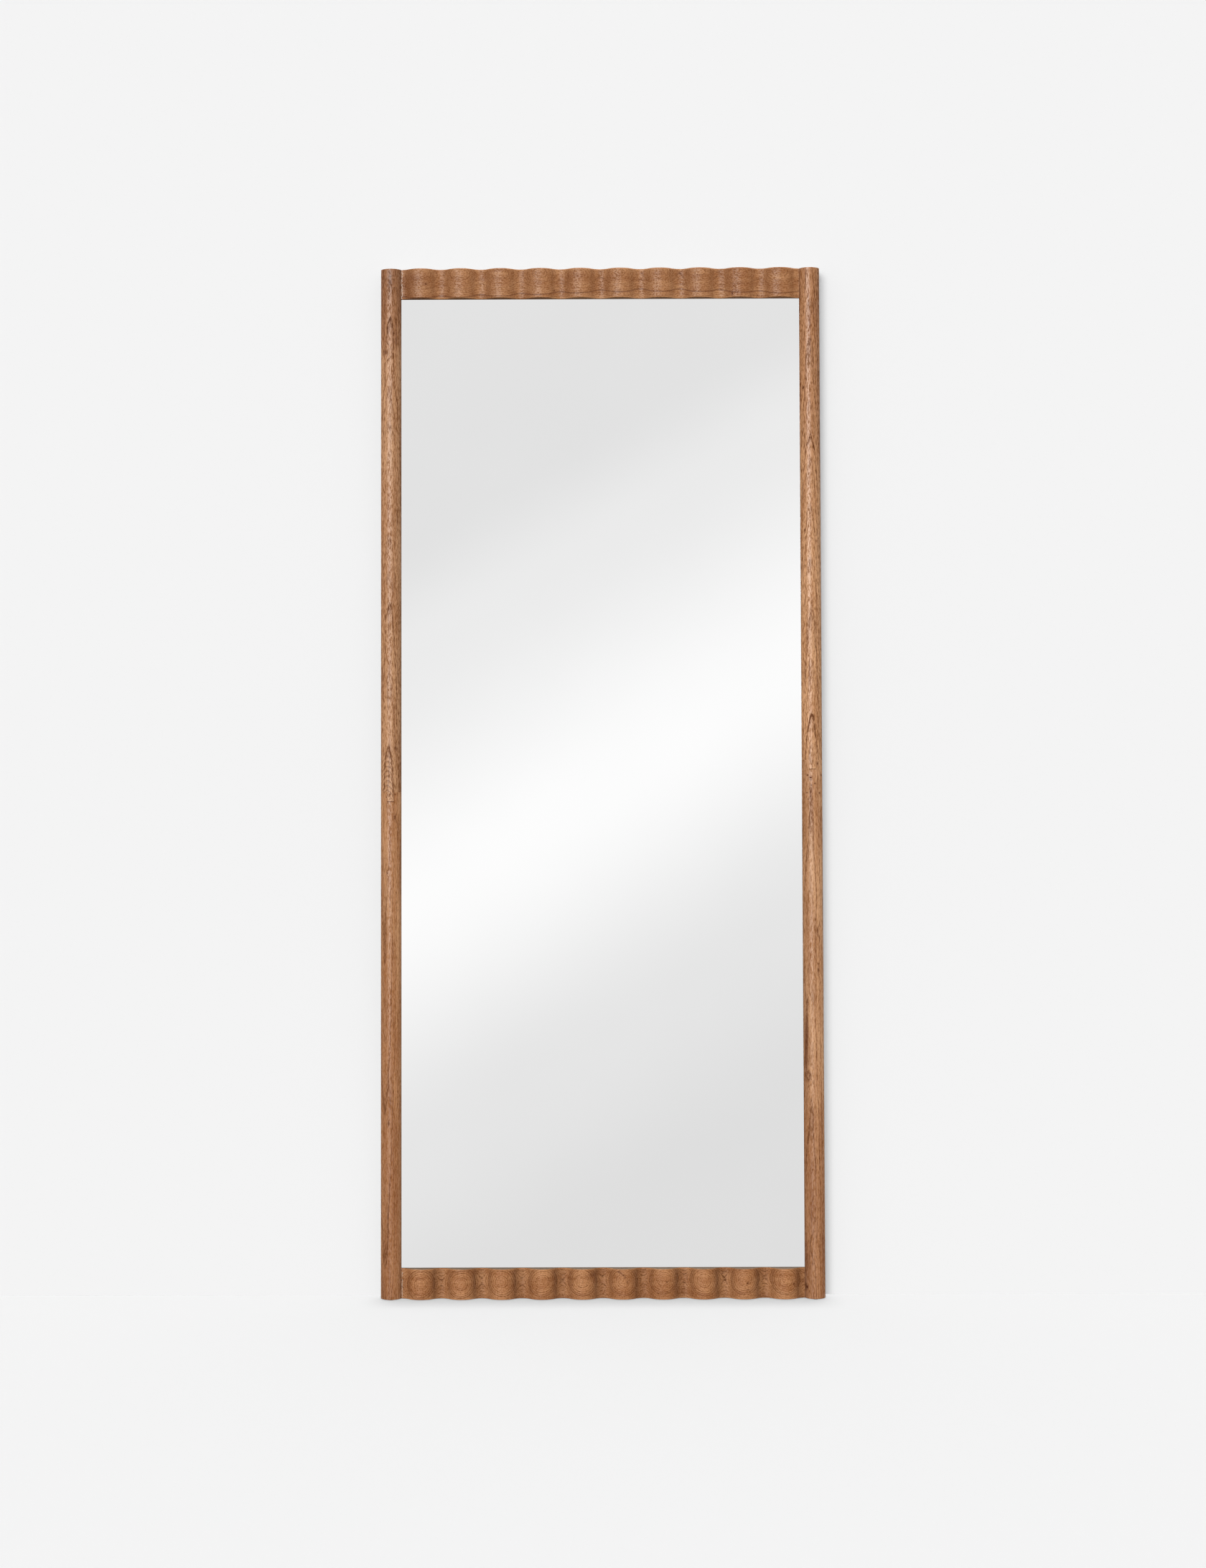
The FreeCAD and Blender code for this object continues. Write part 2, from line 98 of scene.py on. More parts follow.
# Light of the stage, with angles in degrees, and the paint of its sheets
AMBIENT_ABOVE = 0.52
AMBIENT_BELOW = 0.2
AMBIENT = (AMBIENT_ABOVE + AMBIENT_BELOW) / 2
KEY_SIDE = 15
KEY_RISE = 13
KEY_SPREAD = 36
OVERHEAD = 1.5
WALL_PAINT = 0.72
FLOOR_PAINT = 0.45
FLOOR_LIFT = 0.008
STAGE_REACH = 9
WALL_HEIGHT = 7
WHITE = (1.0, 1.0, 1.0)

# The band of light that the glass shows: its slope, its two edges, and grey levels across it
BAND_SLOPE = 0.594
BAND_EDGES = (-0.2035, 0.1965)
BAND_LEVELS = ((0.0, 0.745), (0.21, 0.8), (0.5, 0.995), (0.79, 0.845), (0.92, 0.775))
BAND_STRENGTH = 1.05

# Camera: its place, its yaw, pitch and roll in degrees, and its lens in millimetres
CAMERA_PLACE = (0.0172, -3.7331, 0.8995)
CAMERA_TURN = (0.219, 91.818, -0.175)
CAMERA_LENS = 49.46
CAMERA_WIDTH = 36
CAMERA_SHIFT = -0.05

# Knots, worm holes and wide faint darker patches in the front of each length of wood, in
# millimetres
# A row is X, Z, half width, half height, strength and how far growth rings are pushed aside
KNOTS = {
    "bottom_rail": (
        (27.1, 48.3, 2.8, 1.2, 0.85), (31, 45.8, 2.4, 1.1, 0.8), (34.8, 42.6, 1.9, 1.3, 0.75),
        (37.8, 38.8, 1.4, 1.8, 0.65), (41.7, 31.2, 1.5, 2.6, 0.55), (109.2, 31.1, 1.7, 1.5, 0.75),
        (247.4, 28.7, 1.7, 1.7, 0.95), (247.9, 17.4, 3.6, 0.9, 0.7), (326.4, 27, 1.3, 2, 0.7),
        (-19.6, 42.3, 6, 5, 0.35, 2), (-52.8, 25.4, 1.1, 1.1, 0.7), (-34.4, 31.4, 1, 1, 0.6),
        (210, 45.5, 15, 5, 0.15), (205, 43.1, 2, 0.9, 0.7),
    ),
    "top_rail": (
        (-302.6, 1750.7, 3.2, 2.4, 0.6, 6), (229.4, 1732.3, 1.2, 3, 0.9),
        (139.9, 1769, 1.8, 1.4, 0.8), (72.6, 1770.5, 1.7, 1.2, 0.8), (136.1, 1761.5, 1, 1, 0.7),
        (274.2, 1730.8, 1, 1.5, 0.75), (237, 1758.6, 1.1, 1, 0.6), (-79.5, 1739.8, 1.7, 1.1, 0.85),
        (95, 1740, 80, 80, 0, 8), (-332, 1750, 26, 34, 0.22),
    ),
    "left_stile_upper": (
        (-353.9, 944.6, 2.2, 4.5, 0.45, 4), (-371.9, 1632, 3.2, 4.6, 0.5, 7),
        (-357.8, 1665, 1.2, 1.8, 0.65), (-354.5, 1652, 3, 8, 0.3), (-364.3, 1763.6, 1.5, 1.8, 0.45),
        (-364, 1754, 3.6, 4.2, 0.3, 9), (-364.1, 865.4, 1, 1.1, 0.8), (-364.7, 856.8, 0.9, 1, 0.8),
        (-364, 1778, 24, 34, 0.12),
    ),
    "left_stile_lower": (
        (-356.8, 825.9, 1.8, 4.5, 0.6, 4), (-370.3, 860.5, 1, 1.1, 0.8),
        (-355.4, 865.4, 1, 1.1, 0.8), (-367.4, 301.9, 1.2, 4, 0.5, 4),
        (-369, 730, 1.2, 1.8, 0.7, 3),
    ),
    "right_stile_upper": (
        (351.8, 1567.9, 1.2, 3, 0.8), (366, 1700, 0.9, 4, 0.4), (353, 1320, 1.3, 3, 0.7, 3),
    ),
    "right_stile_lower": (
        (372.1, 916.3, 1.7, 3.6, 0.75, 3), (360.2, 892.3, 2.2, 2.3, 0.95),
        (355.3, 896.6, 1.4, 1.4, 0.9), (379, 896.5, 1.2, 1.4, 0.9), (360.7, 888, 1.2, 1.2, 0.9),
        (367.3, 882.2, 1.3, 1.3, 0.9), (361.2, 879.3, 1.1, 1.1, 0.9), (354, 866.2, 1.1, 1.1, 0.9),
        (359.6, 867.4, 1.1, 1.1, 0.9), (359.6, 860.3, 1, 1, 0.9), (355.9, 855.1, 1, 1, 0.9),
        (375.6, 865.7, 1.3, 1.2, 0.9), (371.8, 561.3, 1.8, 4.6, 0.65, 5),
        (370.9, 572.5, 1.2, 2, 0.5), (352.8, 508.6, 1.1, 6, 0.6), (349.5, 20.7, 1.8, 3.6, 0.8, 2), (359, 61, 1.2, 2, 0.5),
        (350.5, 436, 3.2, 72, 0.55, 3), (355.7, 379.7, 2, 5, 0.5, 5),
        (370.8, 628.9, 1.5, 5, 0.55, 4), (361.4, 92, 3, 8, 0, 5),
    ),
}


# Sizes and colours that a user would change

LENGTH = {"unit": "LENGTH", "precision": 4}
SHARE = {"min": 0.1, "max": 0.9, "subtype": "FACTOR"}
COLOUR = {"size": 3, "subtype": "COLOR"}


class MirrorSizes(PropertyGroup):
    """Sizes of the carved frame."""

    wave_count: IntProperty(
        name="Waves", description="Carved waves along each rail", default=10, min=2)
    wave_depth: FloatProperty(
        name="Wave depth", description="From the crests to the troughs of the carving",
        default=0.012, **LENGTH)
    crest_share: FloatProperty(
        name="Crest share", description="Part of each wave's width that the crest takes",
        default=0.62, **SHARE)
    stile_setback: FloatProperty(
        name="Stile setback", description="How far the stiles' crowns lie behind the crests",
        default=0.002, **LENGTH)
    edge_ease: FloatProperty(
        name="Edge ease", description="Rounding of the frame's upper and lower edges",
        default=0.0015, **LENGTH)
    lip_depth: FloatProperty(
        name="Lip depth", description="From the crests to the back of the lip before the glass",
        default=0.0155, **LENGTH)
    lip_cover: FloatProperty(
        name="Lip cover", description="How far the glass pocket goes behind the lip",
        default=0.0066, **LENGTH)
    panel_depth: FloatProperty(
        name="Panel depth", description="From the crests to the ledge under the backing panel",
        default=0.0235, **LENGTH)
    panel_cover: FloatProperty(
        name="Panel cover", description="How far the panel's pocket goes into the frame",
        default=0.0146, **LENGTH)
    tongue_share: FloatProperty(
        name="Tongue share", description="Part of the stile's width that the tongue takes",
        default=1 / 3, **SHARE)
    joint_line: FloatProperty(
        name="Joint line", description="Width of the fine groove at a tongue's end",
        default=0.0005, unit="LENGTH", precision=5)


class MirrorFinishes(PropertyGroup):
    """Colours of the wood, the glass and the fittings."""

    wood_light: FloatVectorProperty(
        name="Light wood", description="Early wood between the growth rings",
        default=(0.5, 0.265, 0.138), **COLOUR)
    wood_middle: FloatVectorProperty(
        name="Middle wood", description="Body colour of the oiled wood",
        default=(0.35, 0.157, 0.067), **COLOUR)
    wood_dark: FloatVectorProperty(
        name="Dark wood", description="Late wood, pores and the rims of knots",
        default=(0.122, 0.035, 0.008), **COLOUR)
    knot: FloatVectorProperty(
        name="Knot", description="Hearts of the knots and worm holes",
        default=(0.085, 0.015, 0.002), **COLOUR)
    wood_sawn: FloatVectorProperty(
        name="Sawn wood", description="Sawn upper face of the bottom rail, which took no oil",
        default=(0.4, 0.33, 0.26), **COLOUR)
    filler: FloatVectorProperty(
        name="Filler", description="Pale filler at the left ends of the rails",
        default=(0.62, 0.47, 0.37), **COLOUR)
    silvering: FloatVectorProperty(
        name="Silvering", description="Tint of the mirror",
        default=(0.943, 0.943, 0.943), **COLOUR)
    board: FloatVectorProperty(
        name="Board", description="Pressed fibre board of the backing panel",
        default=(0.36, 0.235, 0.14), **COLOUR)
    plate: FloatVectorProperty(
        name="Plate", description="Zinc on the braces, straps and rings",
        default=(0.5, 0.5, 0.485), **COLOUR)
    screw: FloatVectorProperty(
        name="Screw", description="Passivated steel of the screws",
        default=(0.62, 0.55, 0.36), **COLOUR)
    rubber: FloatVectorProperty(
        name="Rubber", description="Bumpers, pads, blocks and spacers",
        default=(0.022, 0.021, 0.02), **COLOUR)
    backdrop: FloatVectorProperty(
        name="Backdrop", description="Pale wall, floor and surroundings",
        default=(0.905, 0.905, 0.905), **COLOUR)


def sizes():
    """The sizes that this scene is set to."""
    return bpy.context.scene.mirror_sizes


def finishes():
    """The colours that this scene is set to."""
    return bpy.context.scene.mirror_finishes


# Shader building


class Value:
    """A number, vector or colour in a shader tree; numbers take part in sums."""

    def __init__(self, tree, socket):
        self.tree = tree
        self.socket = socket

    def math(self, operation, *others):
        """The result of one Math node."""
        values = dict(enumerate((self, *others)))
        return add(self.tree, "Math", values, operation=operation)[0]

    def __add__(self, other):
        return self.math("ADD", other)

    def __sub__(self, other):
        return self.math("SUBTRACT", other)

    def __mul__(self, other):
        return self.math("MULTIPLY", other)

    def __truediv__(self, other):
        return self.math("DIVIDE", other)

    def __pow__(self, other):
        return self.math("POWER", other)

    def __abs__(self):
        return self.math("ABSOLUTE")

    def most(self, other):
        """The larger of two numbers."""
        return self.math("MAXIMUM", other)

    def ramp(self, start, end, low=0.0, high=1.0):
        """A number eased from low to high between two places."""
        inputs = {
            "Value": self, "From Min": start, "From Max": end, "To Min": low, "To Max": high}
        return add(self.tree, "MapRange", inputs, interpolation_type="SMOOTHSTEP")[0]

    def mix(self, first, second):
        """A colour between two colours, with this number as the second one's share."""
        inputs = {0: self, 6: rgba(first), 7: rgba(second)}
        return add(self.tree, "Mix", inputs, data_type="RGBA", blend_type="MIX")[2]

    def vector(self, operation, other):
        """The vector that one Vector Math node gives."""
        return add(self.tree, "VectorMath", {0: self, 1: other}, operation=operation)[0]

    def length(self):
        """How long a vector is."""
        return add(self.tree, "VectorMath", {0: self}, operation="LENGTH")["Value"]

    def parts(self):
        """The X, Y and Z of a vector."""
        return add(self.tree, "SeparateXYZ", {0: self})

    def noise(self, stretch, detail=2.0, roughness=0.5):
        """Noise on a vector that is stretched along each axis, in repeats a metre."""
        scaled = self.vector("MULTIPLY", stretch)
        inputs = {"Vector": scaled, "Scale": 1.0, "Detail": detail, "Roughness": roughness}
        return add(self.tree, "TexNoise", inputs)[0]

    def warmed(self, shade, green, blue):
        """A colour made darker or paler; green and blue change by a higher power than red."""
        parts = {0: shade, 1: shade ** green, 2: shade ** blue}
        return self.vector("MULTIPLY", add(self.tree, "CombineXYZ", parts)[0])


class ShaderNode:
    """A shader node whose outputs are values, found by name or number."""

    def __init__(self, tree, node):
        self.tree = tree
        self.node = node

    def __getitem__(self, output):
        return Value(self.tree, self.node.outputs[output])

    def feed(self, inputs):
        """Joins values to the node's inputs, and sets plain numbers on them."""
        for name, value in inputs.items():
            if isinstance(value, Value):
                self.tree.links.new(value.socket, self.node.inputs[name])
            else:
                self.node.inputs[name].default_value = value


def add(tree, kind, inputs=None, **settings):
    """One shader node with its settings and inputs."""
    node = tree.nodes.new("ShaderNode" + kind)
    node.location = (len(tree.nodes) * 190, (len(tree.nodes) % 4) * -170)
    for name, value in settings.items():
        setattr(node, name, value)
    made = ShaderNode(tree, node)
    made.feed(inputs or {})
    return made


def rgba(colour):
    """A colour with full alpha; a value is left as it is."""
    return colour if isinstance(colour, Value) else (*colour, 1.0)


def blended(share, first, second):
    """A shader between two shaders."""
    return add(share.tree, "MixShader", {0: share, 1: first[0], 2: second[0]})


def emptied(owner):
    """The node tree of a material or a world, with nothing in it."""
    owner.use_nodes = True
    owner.node_tree.nodes.clear()
    return owner.node_tree


def shader_group(name, vectors, numbers, outputs, work_out):
    """A shader group, made once: its sockets, and the function that works out its outputs."""
    if name not in bpy.data.node_groups:
        group = bpy.data.node_groups.new(name, "ShaderNodeTree")
        for kind, sockets in (("NodeSocketVector", vectors), ("NodeSocketFloat", numbers)):
            for socket in sockets:
                group.interface.new_socket(socket, in_out="INPUT", socket_type=kind)
        for socket in outputs:
            group.interface.new_socket(socket, in_out="OUTPUT", socket_type="NodeSocketFloat")
        entry = ShaderNode(group, group.nodes.new("NodeGroupInput"))
        leave = ShaderNode(group, group.nodes.new("NodeGroupOutput"))
        leave.feed(dict(zip(outputs, work_out(entry))))
    return bpy.data.node_groups[name]


def growth_rings():
    """Group for the figure of wood: rings about an axis along X, and fibres and pores along it."""

    def work_out(entry):
        place = entry["Vector"]
        slow = place.noise((5.0, 18.0, 18.0)) - 0.5
        quick = place.noise((26.0, 120.0, 120.0), 3.0) - 0.5
        shift = slow + quick * 0.22
        length = place.vector("MULTIPLY", (0.0, 1.0, 1.0)).length()
        core = entry["Core"]
        beyond = (length * length - core * core).most(0.0).math("SQRT")
        radius = beyond + shift * entry["Warp"] + entry["Push"]
        outer = (radius - entry["Crowded"]).most(0.0)
        count = (radius + outer * entry["Crowding"]) / entry["Spacing"]
        wander = {"W": count, "Scale": 0.45, "Detail": 1.0}
        count = count + add(place.tree, "TexNoise", wander, noise_dimensions="1D")[0] * 0.8
        part = count.math("FRACT")
        whole = count.math("FLOOR")
        chance = add(place.tree, "TexWhiteNoise", {"W": whole}, noise_dimensions="1D")["Value"]
        turn = whole.math("MODULO", 2.0).ramp(0.0, 1.0, 0.55, 1.0)
        depth = chance.ramp(0.1, 0.9, 0.45, 1.0) * turn
        fine = add(place.tree, "CombineXYZ", {0: entry["Fibres"], 1: 560.0, 2: 560.0})[0]
        fibre = place.noise(fine, 3.0, 0.6)
        line = part.ramp(0.5, 0.9) * part.ramp(0.92, 1.0, 1.0, 0.0) * depth
        ring = part * 0.12 + line * fibre.ramp(0.35, 0.6, 0.45, 1.0)
        tone = place.noise((6.0, 60.0, 60.0), 4.0, 0.6)
        streak = place.noise((11.0, 200.0, 200.0), 4.0, 0.6)
        pores = place.noise((170.0, 1000.0, 1000.0), 1.0).ramp(0.58, 0.7)
        return ring, tone, streak, fibre, pores, radius

    numbers = ("Core", "Spacing", "Warp", "Push", "Crowded", "Crowding", "Fibres")
    outputs = ("Ring", "Tone", "Streak", "Fibre", "Pores", "Radius")
    return shader_group("Growth rings", ("Vector",), numbers, outputs, work_out)


def knot_group():
    """Group for one knot or worm hole: a dark core, a soft halo and a wide swirl."""

    def work_out(entry):
        ragged = entry["Vector"].noise((600.0, 600.0, 600.0), 1.0) - 0.5
        apart = entry["Vector"].vector("SUBTRACT", entry["Place"])
        away = apart.vector("DIVIDE", entry["Size"]).length()
        rough = away + ragged * 0.9
        core = rough.ramp(0.5, 1.05, 1.0, 0.0)
        halo = rough.ramp(0.7, 2.6, 1.0, 0.0)
        return core, halo, away.ramp(0.0, 4.5, 1.0, 0.0)

    outputs = ("Core", "Halo", "Swirl")
    return shader_group("Knot", ("Vector", "Place", "Size"), (), outputs, work_out)


def speckle_group():
    """Group for mottled, slightly rough surfaces: slow patches and fine grit."""

    def work_out(entry):
        scaled = entry["Vector"].vector("MULTIPLY", entry["Stretch"])
        slow = {"Vector": scaled, "Scale": 0.06, "Detail": 3.0}
        patches = add(scaled.tree, "TexNoise", slow)[0]
        return patches, entry["Vector"].noise(entry["Stretch"], 3.0, 0.65)

    return shader_group("Speckle", ("Vector", "Stretch"), (), ("Patches", "Grit"), work_out)


def new_finish(name):
    """A plain material, its shader and its texture coordinates."""
    finish = bpy.data.materials.new(name)
    tree = emptied(finish)
    shader = add(tree, "BsdfPrincipled")
    add(tree, "OutputMaterial", {"Surface": shader[0]})
    return finish, shader, add(tree, "TexCoord")


def speckled(name, stretch):
    """A plain material, its shader, and patches and grit for it."""
    finish, shader, coordinates = new_finish(name)
    inputs = {"Vector": coordinates["Object"], "Stretch": stretch}
    marks = add(shader.tree, "Group", inputs, node_tree=speckle_group())
    return finish, shader, marks["Patches"], marks["Grit"]


def bumped(height, strength, distance):
    """The normal of a bumpy surface."""
    inputs = {"Strength": strength, "Distance": distance, "Height": height}
    return add(height.tree, "Bump", inputs)[0]


def toned(colour, *shares):
    """A colour with its parts made stronger or weaker, by one share or by one for each."""
    return [part * share for part, share in zip(colour, shares * (3 // len(shares)))]


# Finishes


def spot(x, z, half_width, half_height, strength, swirl=0.0):
    """A knot from its row of numbers, which goes into the wood like a twig."""
    size = (half_width / 1000, KNOT_REACH, half_height / 1000)
    return (x / 1000, KNOT_FRONT, z / 1000), size, strength, swirl / 1000


def arched(at, tone, middle, lowest, highest, pitch, bend, amount):
    """How dark nested arches are, about one place across a stile and between two heights."""
    aside = tone * 0.004 + (at["X"] - middle)
    raised = aside * aside * (0.5 / bend) + at["Z"]
    part = ((tone * 0.02 + raised) / pitch).math("FRACT")
    arch = part.ramp(0.4, 0.85) * part.ramp(0.86, 1.0, 1.0, 0.0)
    ends = at["Z"].ramp(lowest, lowest + 0.012) * at["Z"].ramp(highest - 0.05, highest, 1.0, 0.0)
    return arch * (ends * abs(aside).ramp(0.009, 0.015, amount, 0.0))


def filled(colour, place, aside, end):
    """Wood with a broken line of filler by its left end, and a dark gap at both ends."""
    wavy = place.noise((180.0, 180.0, 180.0), 3.0, 0.65) * 0.006 + (end - 0.0048)
    line = abs(aside + wavy).ramp(0.0003, 0.0009, 0.8, 0.0)
    broken = place.noise((90.0, 90.0, 130.0)).ramp(0.38, 0.5)
    colour = (line * broken).mix(colour, finishes().filler)
    return abs(aside).ramp(end - 0.0009, end, 0.0, 0.7).mix(colour, finishes().wood_dark)


def wood_finish(
        name, pith, turn, warp, figure, streaks, grain, tone, along, spacing=RING_SPACING,
        core=0.0, knots=(), crowding=(1.0, 0.0), fibres=120.0, fading=None, dark_ring=None,
        filler_at=None, sawn_top=False, polish=(0.6, 0.4), painted_flank_shade=0.0, painted_flank_lift=0.0, painted_shadow_share=0.0,
        sway=None, arches=None, seam=0.9, tone_by_height=None):
    """Oiled wood whose rings run about a pith line: its place, its direction and the rings' looks.

    The rings begin at the core's radius, and past the crowding's radius they lie closer. Along is
    the axis of the grain, on which cut ends drink more oil. Fading gives two depths between which
    the rings grow fainter, and the painted shadow share darkens the deep faces that turn right or
    forward there: a painted shadow of the crests, as from light on the left. Polish is the weight
    and roughness of the oil's coat. The painted flank shade makes the side that faces right paler
    than the one that faces left, and the painted flank lift makes both paler: painted light by the
    way a side faces. Sway raises the pith between two places along X, from one height to another.
    Arches are nested lines about one place: their middle, lowest and highest ends, pitch, bend and
    strength. Tone by height turns the wood from one shade to another between two heights, and
    what is darker is warmer too.
    """
    colours = finishes()
    dark = colours.wood_dark
    light = toned(colours.wood_light, *tone)
    finish, shader, coordinates = new_finish(name)
    tree = shader.tree
    place = coordinates["Object"]
    at = place.parts()
    normal = coordinates["Normal"].parts()

    # Growth rings about the pith, pushed aside by knots
    mapping = {"Vector": place, "Location": pith, "Rotation": turn}
    lengthwise = add(tree, "Mapping", mapping, vector_type="TEXTURE")[0]
    if sway:
        uneven = place.noise((13.0, 0.0, 0.0), 0.0) - 0.5
        raised = uneven * 0.011 + at["X"].ramp(*sway)
        lengthwise = lengthwise.vector("SUBTRACT", add(tree, "CombineXYZ", {2: raised})[0])
    marks = []
    push = 0.0
    for centre, size, strength, swirl in (spot(*row) for row in knots):
        inputs = {"Vector": place, "Place": centre, "Size": size}
        mark = add(tree, "Group", inputs, node_tree=knot_group())
        if strength:
            marks.append((mark["Core"] * strength, mark["Halo"] * (strength * 0.4)))
        if swirl:
            push = mark["Swirl"] * swirl + push
    rings = add(tree, "Group", {
        "Vector": lengthwise, "Core": core, "Spacing": spacing, "Warp": warp, "Push": push,
        "Crowded": crowding[0], "Crowding": crowding[1], "Fibres": fibres,
    }, node_tree=growth_rings())
    fibre, streak, pores = rings["Fibre"], rings["Streak"], rings["Pores"]

    # Colour of the grain, and painted shade on the sides and in the troughs
    # Painted shade: each side made paler or darker by the way it faces, as light from one side
    # would make it
    shade = normal["X"] * (normal["X"] * painted_flank_lift + painted_flank_shade) + 1.0
    if fading:
        outer = rings["Radius"].ramp(0.006, 0.022, 0.8, 1.45)
        figure = at["Y"].ramp(*fading, figure, figure * 0.9) * outer
        # Painted shadow of the crests in the troughs, on deep faces turned away from the light
        painted_trough_shadow = at["Y"].ramp(*fading) * normal["X"].ramp(-0.55, 0.1)
        shade = shade - painted_trough_shadow * painted_shadow_share
    lines = rings["Ring"] * figure
    colour = rings["Tone"].ramp(0.36, 0.66).mix(toned(colours.wood_middle, *tone), light)
    colour = streak.ramp(0.5, 0.38, 0.0, streaks).mix(colour, light)
    colour = lines.mix(colour, dark)
    colour = streak.ramp(0.52, 0.68, 0.0, streaks).mix(colour, dark)
    colour = fibre.ramp(0.48, 0.7, 0.0, grain).mix(colour, dark)
    colour = fibre.ramp(0.5, 0.32, 0.0, grain).mix(colour, light)
    if arches:
        colour = arched(at, rings["Tone"], *arches).mix(colour, dark)
    end_grain = normal[along] * normal[along] * END_GRAIN
    colour = end_grain.math("MINIMUM", 0.6).mix(colour, dark)
    colour = (pores * 0.45).mix(colour, dark)
    if dark_ring:
        radius, width, amount = dark_ring
        colour = abs(rings["Radius"] - radius).ramp(0.0, width, amount, 0.0).mix(colour, dark)

    # Knots, joints, worn edges and sawn faces
    height = rings["Ring"] * 0.35 + pores + fibre
    rough = fibre.ramp(0.2, 0.8, 0.5, 0.7)
    bare = lines.most(pores).most(fibre.ramp(0.42, 0.66))
    for heart, halo in marks:
        bare = bare.most(heart)
        height = height + heart
        colour = heart.mix(halo.mix(colour, dark), colours.knot)
    joint = add(tree, "Attribute", attribute_name="seam")["Fac"]
    colour = (joint * seam).mix(colour, dark)
    worn = add(tree, "Attribute", attribute_name="wear")["Fac"]
    colour = (worn * rings["Tone"].ramp(0.35, 0.6, 0.1, 0.4)).mix(colour, light)
    if filler_at:
        colour = filled(colour, place, at["X"], filler_at)
    if sawn_top:
        sawn = normal["Z"].ramp(0.8, 0.97)
        rough = rough.most(sawn * 0.95)
        bare = bare.most(sawn)
        colour = (sawn * 0.8).mix(colour, colours.wood_sawn)

    # Painted shade made warmer where darker, the tone by height, and the oil's coat
    colour = colour.warmed(shade, 1.12, 1.3)
    if tone_by_height:
        colour = colour.warmed(at["Z"].ramp(*tone_by_height), 1.45, 1.9)
    bounced = add(tree, "LightPath")["Is Diffuse Ray"]
    weight, smoothness = polish
    front = abs(normal["Y"]).ramp(0.2, 0.65)
    shader.feed({
        "Base Color": bounced.mix(colour, BOUNCE_GREY), "Roughness": rough,
        "Specular IOR Level": 0.1, "Coat Roughness": smoothness,
        "Coat Weight": front * bare.ramp(0.1, 0.8, weight, weight * 0.08),
        "Normal": bumped(height * -1.0, 0.3, GRAIN_DEPTH),
    })
    return finish


def mirror_finish():
    """Silvered glass, with the faintest unevenness in its polish."""
    silver = finishes().silvering
    finish, shader, patches, grit = speckled("Silvered glass", (40.0, 40.0, 40.0))
    colour = patches.ramp(0.3, 0.7).mix(silver, toned(silver, 0.985))
    rough = grit.ramp(0.3, 0.8, 0.004, 0.014)
    shader.feed({"Metallic": 1.0, "Base Color": colour, "Roughness": rough})
    return finish


def matt_finish(name, colour, variation, fineness, roughness, strength):
    """A matt surface with patches and grit: board, card, tape or rubber."""
    finish, shader, patches, grit = speckled(name, (fineness, fineness, fineness))
    low = toned(colour, 1 - variation)
    mixed = patches.ramp(0.3, 0.7).mix(low, toned(colour, 1 + variation))
    shader.feed({
        "Base Color": grit.ramp(0.45, 0.75, 0.0, 0.6).mix(mixed, low),
        "Roughness": grit.ramp(0.2, 0.8, roughness - 0.08, roughness + 0.08),
        "Normal": bumped(grit, strength, 0.0004),
    })
    return finish


def metal_finish(name, colour, stretch, roughness):
    """Plated steel with fine drawn lines and duller patches."""
    finish, shader, patches, grit = speckled(name, stretch)
    shader.feed({
        "Metallic": 1.0, "Base Color": patches.ramp(0.35, 0.7).mix(colour, toned(colour, 0.72)),
        "Roughness": grit.ramp(0.25, 0.75, roughness - 0.1, roughness + 0.12),
        "Normal": bumped(grit, 0.12, 0.0002),
    })
    return finish


def dress(finish, *nodes):
    """Gives CAD nodes a finish in their material slots."""
    for node in nodes:
        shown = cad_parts[node]
        if not shown.material_slots:
            shown.data.materials.append(finish)
        for slot in shown.material_slots:
            slot.material = finish


# Mesh building


def placed(name, data):
    """A new object in the scene."""
    made = bpy.data.objects.new(name, data)
    bpy.context.scene.collection.objects.link(made)
    return made


def to_object(name, shape, finish):
    """A new object made from a bmesh."""
    data = bpy.data.meshes.new(name)
    shape.to_mesh(data)
    shape.free()
    data.materials.append(finish)
    return placed(name, data)


def new_shape():
    """An empty bmesh with layers that mark worn edges and joint lines."""
    shape = bmesh.new()
    shape.verts.layers.float.new("wear")
    shape.verts.layers.float.new("seam")
    return shape


def weld(shape):
    """Makes one point of those that lie at the same place."""
    bmesh.ops.remove_doubles(shape, verts=shape.verts, dist=NEAR)


def face_outwards(shape):
    """Turns every face outwards."""
    bmesh.ops.recalc_face_normals(shape, faces=shape.faces)


def finished(name, shape, finish, body, slot, *nodes):
    """Turns a bmesh into a piece that rides on a body and stands for CAD nodes."""
    weld(shape)
    face_outwards(shape)
    made = to_object(name, shape, finish)
    made.data.polygons.foreach_set("use_smooth", [True] * len(made.data.polygons))
    made.data.set_sharp_from_angle(angle=SMOOTH_ANGLE)
    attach(made, body)
    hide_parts(*nodes)
    return made


def parts_of(geometry, kind):
    """The vertices, edges or faces among mixed geometry."""
    return [part for part in geometry if isinstance(part, kind)]


def new_edge(shape, *places):
    """An edge to sweep, with its two ends."""
    ends = [shape.verts.new(place) for place in places]
    return [*ends, shape.edges.new(ends)]


def sweep(shape, geometry, centre, angle, steps, axis=(0, 0, 1), merge=False):
    """Spins an edge or a loop about an axis and gives back its last place."""
    return bmesh.ops.spin(
        shape, geom=geometry, cent=centre, axis=axis, dvec=(0, 0, 0), angle=angle, steps=steps,
        use_merge=merge, use_normal_flip=False, use_duplicate=False)["geom_last"]


def pushed_on(shape, line, step):
    """Extrudes an edge or a loop by one step and gives back its last place."""
    edges = parts_of(line, bmesh.types.BMEdge)
    grown = bmesh.ops.extrude_edge_only(shape, edges=edges)["geom"]
    bmesh.ops.translate(shape, verts=parts_of(grown, bmesh.types.BMVert), vec=step)
    return [part for part in grown if not isinstance(part, bmesh.types.BMFace)]


